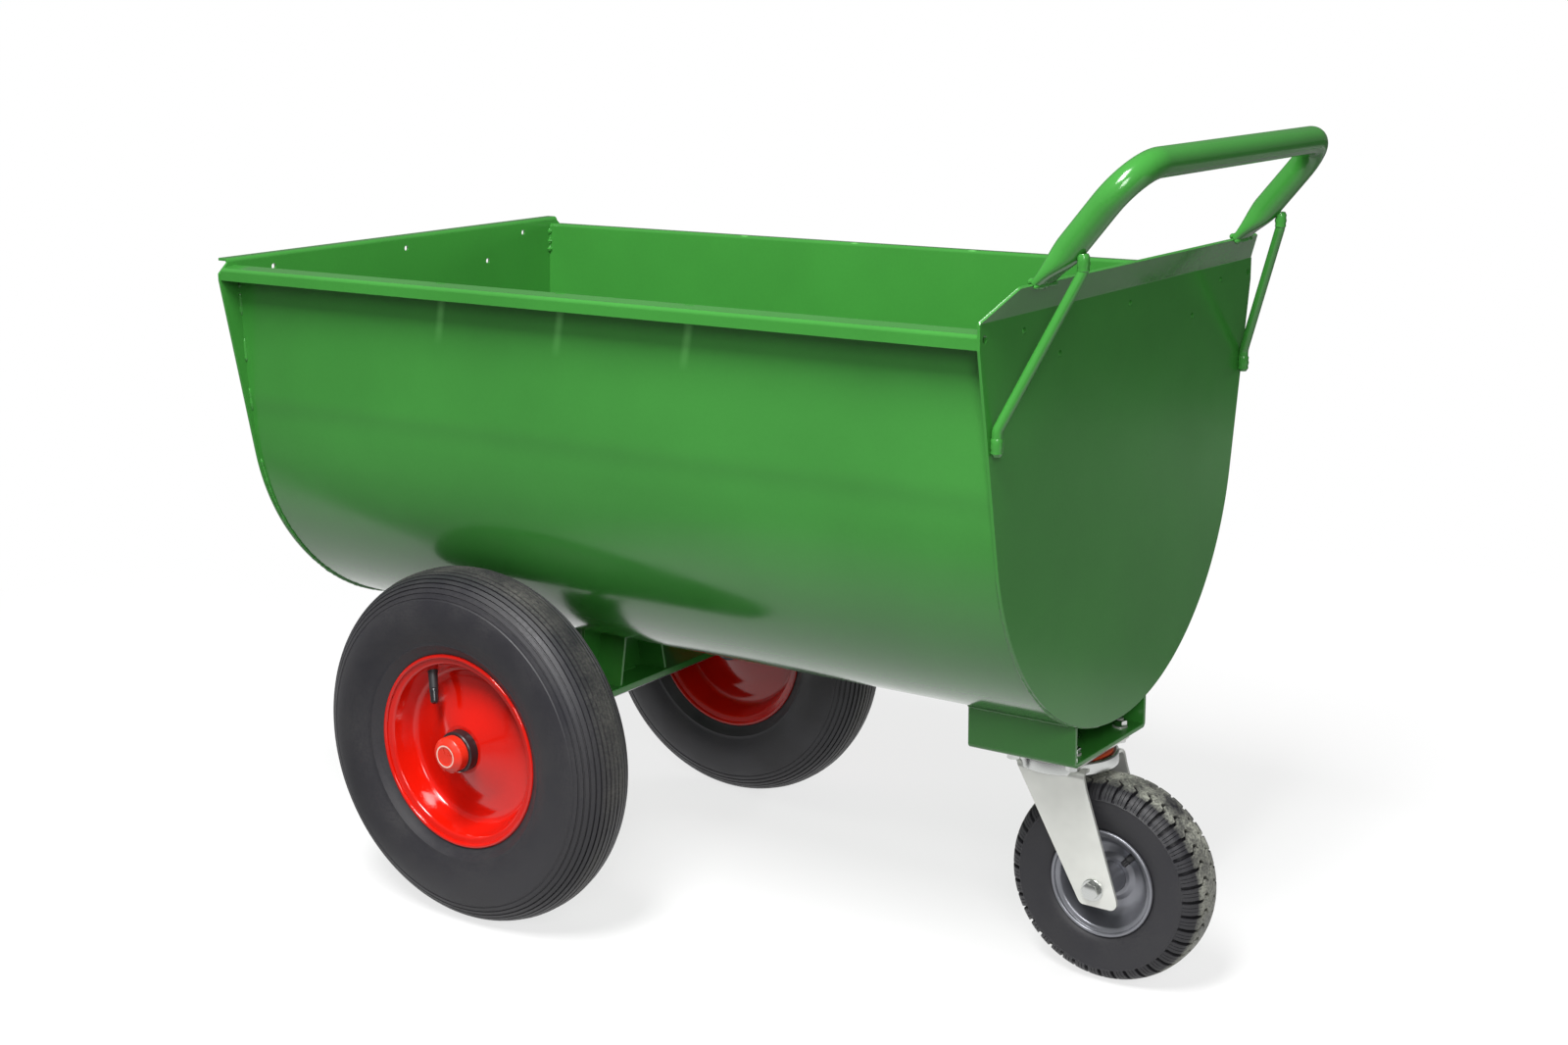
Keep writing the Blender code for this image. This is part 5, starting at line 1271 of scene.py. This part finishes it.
fit("fork_strip", smoothed(fork_mesh), bright_zinc, "caster_swivel", "zinc", "caster_fork")

out_of_fork = Vector((0, FORK_HALF_WIDTH + HAIR, 0))
at_head = Matrix.Translation(CASTER_AXLE - out_of_fork) @ OUT_LEFT
at_nut = Matrix.Translation(CASTER_AXLE + out_of_fork) @ OUT_RIGHT
head_washer = turned("caster_bolt_washer", [(0.0052, 0.0), (0.0052, BOLT_WASHER),
                                            (0.0112, BOLT_WASHER), (0.0116, 0.0012),
                                            (0.0116, 0.0)], 64, is_loop=True)
fit("caster_bolt_washer", head_washer, bolt_zinc, "caster_swivel", "zinc", place=at_head)
fit("caster_bolt_head", hex_piece("caster_bolt_head", BOLT_FLATS, BOLT_HEAD, 0.0, False),
    bolt_zinc, "caster_swivel", "zinc", "caster_axle_bolt",
    place=at_head @ at(0, 0, BOLT_WASHER) @ Matrix.Rotation(BOLT_TURN, 4, "Z"))
fit("caster_bolt_nut", hex_piece("caster_bolt_nut", NUT_FLATS, NUT_HEIGHT, NUT_BORE, True),
    bright_zinc, "caster_swivel", "zinc", "caster_axle_nut", place=at_nut)
bolt_rod = [(0.0, -0.0470), (BOLT_RADIUS, -0.0470), (BOLT_RADIUS, 0.0440)]
bolt_rod += thread(BOLT_RADIUS, BOLT_THREAD_FROM, BOLT_PITCH, BOLT_TURNS)
bolt_rod += [(BOLT_RADIUS, 0.0577), (0.0043, 0.0586), (0.0, 0.0586)]
fit("caster_bolt_rod", turned("caster_bolt_rod", bolt_rod, 40), bright_zinc, "caster_swivel",
    "zinc", place=Matrix.Translation(CASTER_AXLE) @ OUT_RIGHT)


# Small wheel: an air tyre whose crown is cut by crooked slits into blocks and whose shoulders
# are cut into lugs, on a silver-grey rim pressed in two halves, with a grey hub tube.
SMALL_RADIUS = 0.109
SMALL_HALF_WIDTH = 0.0335
SMALL_CENTRE = 0.083
SMALL_POWER = 2.6
SMALL_CORE = Vector((0.072, 0.0))
BLOCKS = 40
CUT_DEPTH = 0.0050
CROWN_REACH = 0.12
SHOULDER_REACH = 0.62
GREY = (0.250, 0.255, 0.280, 1.0)
CROWN_DUST = (0.330, 0.335, 0.285, 1.0)
CROWN_DUST_REACH = (0.1052, 0.1078)
CROWN_DUST_AMOUNT = (0.05, 2.4)
# Places across the half crown, as shares of its width, and round it within one block
ROWS_ACROSS = (0.0, 0.10, 0.14, 0.19, 0.24, 0.29, 0.34, 0.39, 0.44, 0.52, 0.60, 0.64, 0.70, 0.77,
               0.84, 0.90, 0.94, 0.965)
SPOTS_ROUND = (0.0, 0.02, 0.04, 0.12, 0.14, 0.22, 0.24, 0.26, 0.28, 0.50, 0.52, 0.54, 0.70, 0.72,
               0.74, 0.76, 0.78, 0.80)
# How far a crooked slit has wandered round, in blocks, at each reach from the crown's middle
SLIT_COURSE = ((0.0, 0.0), (0.12, 0.0), (0.22, 0.32), (0.34, 0.32), (0.44, 0.0), (1.0, 0.0))
# The section below the crown: flank, rim guard and bead, and back inside
SMALL_FLANK = ((0.0924, 0.0331), (0.0919, 0.0336), (0.0911, 0.0336), (0.0905, 0.0332),
               (0.0885, 0.0333), (0.0850, 0.0335), (0.0780, 0.0333), (0.0710, 0.0322),
               (0.0650, 0.0305), (0.0612, 0.0288), (0.0592, 0.0270), (0.0560, 0.0252),
               (0.0515, 0.0240), (0.0490, 0.0200), (0.0570, 0.0210), (0.0750, 0.0285),
               (0.0920, 0.0260), (0.1000, 0.0150), (0.1010, 0.0))
SMALL_RIM = [(0.0168, 0.0040), (0.0205, 0.0040), (0.0260, 0.00125), (0.0415, 0.00125),
             (0.0500, 0.0239), (0.0540, 0.0254), (0.0556, 0.0273)]
SMALL_RIM_ROUNDS = [0.003, 0.004, 0.015, 0.003, 0.001]
SMALL_LIP = ((0.0558, 0.0273), 0.0022)
# The sleeve's radius, half length and bore, and the valve as for the large wheels
SMALL_HUB = (0.0165, 0.036, 0.0133)
SMALL_VALVE = (math.radians(48.0), 0.0452, 0.0119, 0.018, 0.0040)


def wander(reach):
    """How far round a slit has wandered at a reach from the crown's middle."""
    for (low, before), (high, after) in zip(SLIT_COURSE, SLIT_COURSE[1:]):
        if reach <= high:
            return before + (after - before) * (reach - low) / (high - low)
    return 0.0


def tread_cut(share, spot):
    """How deep the tread is cut at a share of the half width and a spot within one block."""
    reach = abs(share)
    nearest = spot if share > 0 else (spot + 0.5) % 1.0
    if reach < CROWN_REACH:
        return 0.0
    fading = min(1.0, (0.985 - reach) / 0.06) * CUT_DEPTH
    if 0.01 < nearest < (0.15 if reach < SHOULDER_REACH else 0.25):
        return fading
    is_fine = min(abs(nearest - 0.52), abs(nearest - 0.76)) < 0.005
    return 0.4 * fading if reach > SHOULDER_REACH and is_fine else 0.0


def block_tread_mesh():
    """The small tyre: a round casing, its two sides cut in turn."""
    height = SMALL_RADIUS - SMALL_CENTRE
    half = [(SMALL_CENTRE + height * (1 - share ** SMALL_POWER) ** (1 / SMALL_POWER),
             share * SMALL_HALF_WIDTH, share) for share in ROWS_ACROSS]
    half += [(radius, side, 0.0) for radius, side in SMALL_FLANK]
    section = [(radius, -side, -share) for radius, side, share in reversed(half[1:-1])] + half
    rings = []
    for radius, side, share in section:
        ring = []
        point = Vector((radius, side))
        for block in range(BLOCKS):
            for spot in SPOTS_ROUND:
                turn = 2 * math.pi * (block + spot + wander(abs(share))) / BLOCKS
                reach, out = point + (SMALL_CORE - point).normalized() * tread_cut(share, spot)
                ring.append((reach * math.cos(turn), reach * math.sin(turn), out))
        rings.append(ring)
    return skin("block_tyre", rings, is_loop=True)


small_place = Matrix.Translation(CASTER_AXLE) @ OUT_LEFT
block_rubber = trodden_rubber("block_rubber", CROWN_DUST, CROWN_DUST_REACH, CROWN_DUST_AMOUNT)
fit("small_tyre", block_tread_mesh(), block_rubber, "caster_wheel", "tyre_rubber",
    "caster_tyre", place=small_place)
silver_grey = enamel("silver_grey", GREY, 0.34, 0.00002, metallic=0.7)
small_rim = rim_half("small_rim", SMALL_RIM, SMALL_RIM_ROUNDS, SMALL_LIP, 96)
for face, half, turn in RIM_HALVES:
    fit(f"small_rim_{face}", small_rim, silver_grey, "caster_wheel", "grey_paint",
        f"caster_rim_{half}_half", place=small_place @ turn)
fit("small_hub_tube", hub_sleeve(*SMALL_HUB), silver_grey, "caster_wheel", "grey_paint",
    "caster_hub_sleeve", place=small_place)
fit_valve("caster", "caster_wheel", small_place, *SMALL_VALVE)


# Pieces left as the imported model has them: they sit inside the wheels, the caps and the swivel,
# and only get the finish of what they are made of.
tube_rubber = rubber("tube_rubber", BLACK, 0.15)
hidden_finishes = {"inner_tube": tube_rubber, "bearing": bare_steel, "stop_collar": bare_steel,
                   "washer": bright_zinc, "race": bare_steel, "spacer": bright_zinc}
for node_name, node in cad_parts.items():
    for word, finish in hidden_finishes.items():
        if word in node_name:
            node.data.materials.clear()
            node.data.materials.append(finish)


# Stage: a white floor that shows white all round and keeps a pale shadow, a pale room, and four
# soft lamps: high over the photographed side, in front of it, behind the cart and beyond its
# front end. The camera stands where the photograph was taken.
FLOOR_SIZE = 30.0
FLOOR_DROP = 0.0005
FLOOR_LIT = 0.20
FLOOR_SEEN = 0.93
# How much of the floor is plain white near the cart and far from it, and between which reaches
FLOOR_REACH = (0.75, 1.9)
FLOOR_PLAIN = (0.72, 1.0)
# The part of the floor that gloss mirrors as white paper: around the cart from its front wheels
# on, or past a line across the view, and in both cases only a little way behind the cart
PAPER_WAY = (-0.527, 0.85, 0.0)
PAPER_EDGE = (0.07, 0.10)
PAPER_FROM_Y = (-1.05, -0.50)
PAPER_FROM_X = (-0.60, -0.35)
PAPER_TO_Y = (0.5, 1.0)
WHITE = (1.0, 1.0, 1.0, 1.0)


def facing(tree, direction, way):
    """How much a direction points one way."""
    return add_node(tree, "ShaderNodeVectorMath", {0: direction, 1: way},
                    operation="DOT_PRODUCT").outputs["Value"]


def seen_rays(tree):
    """One for what the camera sees, straight or through glass, and one for what gloss mirrors."""
    path = add_node(tree, "ShaderNodeLightPath").outputs
    seen = math_of(tree, "ADD", path["Is Camera Ray"], path["Is Transmission Ray"])
    return seen, path["Is Glossy Ray"]


def white_floor():
    """White floor: lit and shadowed for the object, nearly plain white where it is looked at."""
    made, tree, shader = blank_material("white_floor")
    place = own_place(tree)
    x, y, _ = add_node(tree, "ShaderNodeSeparateXYZ", {"Vector": place}).outputs
    reach = add_node(tree, "ShaderNodeVectorMath", {0: place}, operation="LENGTH").outputs["Value"]
    seen, glossy = seen_rays(tree)
    before = math_of(tree, "MULTIPLY", ranged(tree, y, *PAPER_FROM_Y),
                    ranged(tree, x, *PAPER_FROM_X))
    beside = ranged(tree, facing(tree, place, PAPER_WAY), *PAPER_EDGE)
    paper = math_of(tree, "MULTIPLY", math_of(tree, "MAXIMUM", before, beside),
                   ranged(tree, y, *PAPER_TO_Y, 1.0, 0.0))
    plain = ranged(tree, reach, *FLOOR_REACH, *FLOOR_PLAIN)
    share = math_of(tree, "ADD", math_of(tree, "MULTIPLY", seen, plain),
                    math_of(tree, "MULTIPLY", glossy, paper), use_clamp=True)
    tree.links.new(ranged(tree, seen, 0.0, 1.0, FLOOR_LIT, FLOOR_SEEN), shader["Base Color"])
    shader["Roughness"].default_value = 0.7
    shader["Specular IOR Level"].default_value = 0.2
    glow = add_node(tree, "ShaderNodeEmission", {"Color": WHITE, "Strength": 1.0})
    mixed = add_node(tree, "ShaderNodeMixShader", {0: share,
                                                   1: tree.nodes["Principled BSDF"].outputs[0],
                                                   2: glow.outputs[0]})
    tree.links.new(mixed.outputs[0], tree.nodes["Material Output"].inputs["Surface"])
    return made


floor_mesh = bpy.data.meshes.new("studio_floor")
half = FLOOR_SIZE / 2
floor_mesh.from_pydata([(-half, -half, 0), (half, -half, 0), (half, half, 0), (-half, half, 0)],
                       [], [(0, 1, 2, 3)])
floor_mesh.materials.append(white_floor())
studio_floor = placed("studio_floor", floor_mesh)
studio_floor.location.z = -FLOOR_DROP

ROOM_LIGHT = 0.22
# What the gloss mirrors of the room: less away from the photographed side, more towards it
ROOM_WAY = (-0.5, -0.87, 0.0)
ROOM_TURN = (-0.3, 0.5)
ROOM_MIRRORED = (0.15, 0.28)
world = bpy.data.worlds.new("studio")
world.use_nodes = True
bpy.context.scene.world = world
air = world.node_tree
seen, glossy = seen_rays(air)
towards = facing(air, add_node(air, "ShaderNodeTexCoord").outputs["Generated"], ROOM_WAY)
level = add_node(air, "ShaderNodeMix", {0: glossy, 2: ranged(air, seen, 0.0, 1.0, ROOM_LIGHT, 1.0),
                                        3: ranged(air, towards, *ROOM_TURN, *ROOM_MIRRORED)},
                 data_type="FLOAT")
backdrop = air.nodes["Background"].inputs
backdrop["Color"].default_value = WHITE
air.links.new(level.outputs[0], backdrop["Strength"])

# Each lamp's place, width and height, power, and whether the gloss mirrors it
LAMPS = (("high_softbox", (0.50, -1.90, 3.30), (0.9, 1.5), 178.0, True),
         ("front_softbox", (2.40, -2.90, 2.10), (0.9, 1.2), 54.0, True),
         ("rear_softbox", (0.90, 3.30, 1.00), (1.4, 0.8), 42.0, False),
         ("end_softbox", (-3.40, -0.20, 0.90), (1.0, 0.8), 34.0, False))
LAMP_AIM = Vector((0, 0, 0.4))
for lamp_name, spot, (wide, high), power, is_mirrored in LAMPS:
    data = bpy.data.lights.new(lamp_name, "AREA")
    data.shape = "RECTANGLE"
    data.size = wide
    data.size_y = high
    data.energy = power
    lamp = placed(lamp_name, data)
    lamp.location = spot
    lamp.rotation_euler = (LAMP_AIM - Vector(spot)).to_track_quat("-Z", "Y").to_euler()
    lamp.visible_glossy = is_mirrored

# The camera as it was worked out from the photograph's edges and wheels
CAMERA_PLACE = (1.36844, -1.94032, 0.99458)
CAMERA_PAN = 0.6075586
CAMERA_TILT = -0.2336666
CAMERA_ROLL = -0.00920634
CAMERA_LENS = 50.32357
camera_data = bpy.data.cameras.new("camera")
camera_data.sensor_width = 36.0
camera_data.lens = CAMERA_LENS
camera_data.clip_end = 60.0
camera = placed("camera", camera_data)
camera.matrix_world = (at(*CAMERA_PLACE) @ Matrix.Rotation(CAMERA_PAN, 4, "Z")
                       @ Matrix.Rotation(math.pi / 2 + CAMERA_TILT, 4, "X")
                       @ Matrix.Rotation(CAMERA_ROLL, 4, "Z"))
bpy.context.scene.camera = camera
bpy.context.scene.view_settings.view_transform = "Standard"
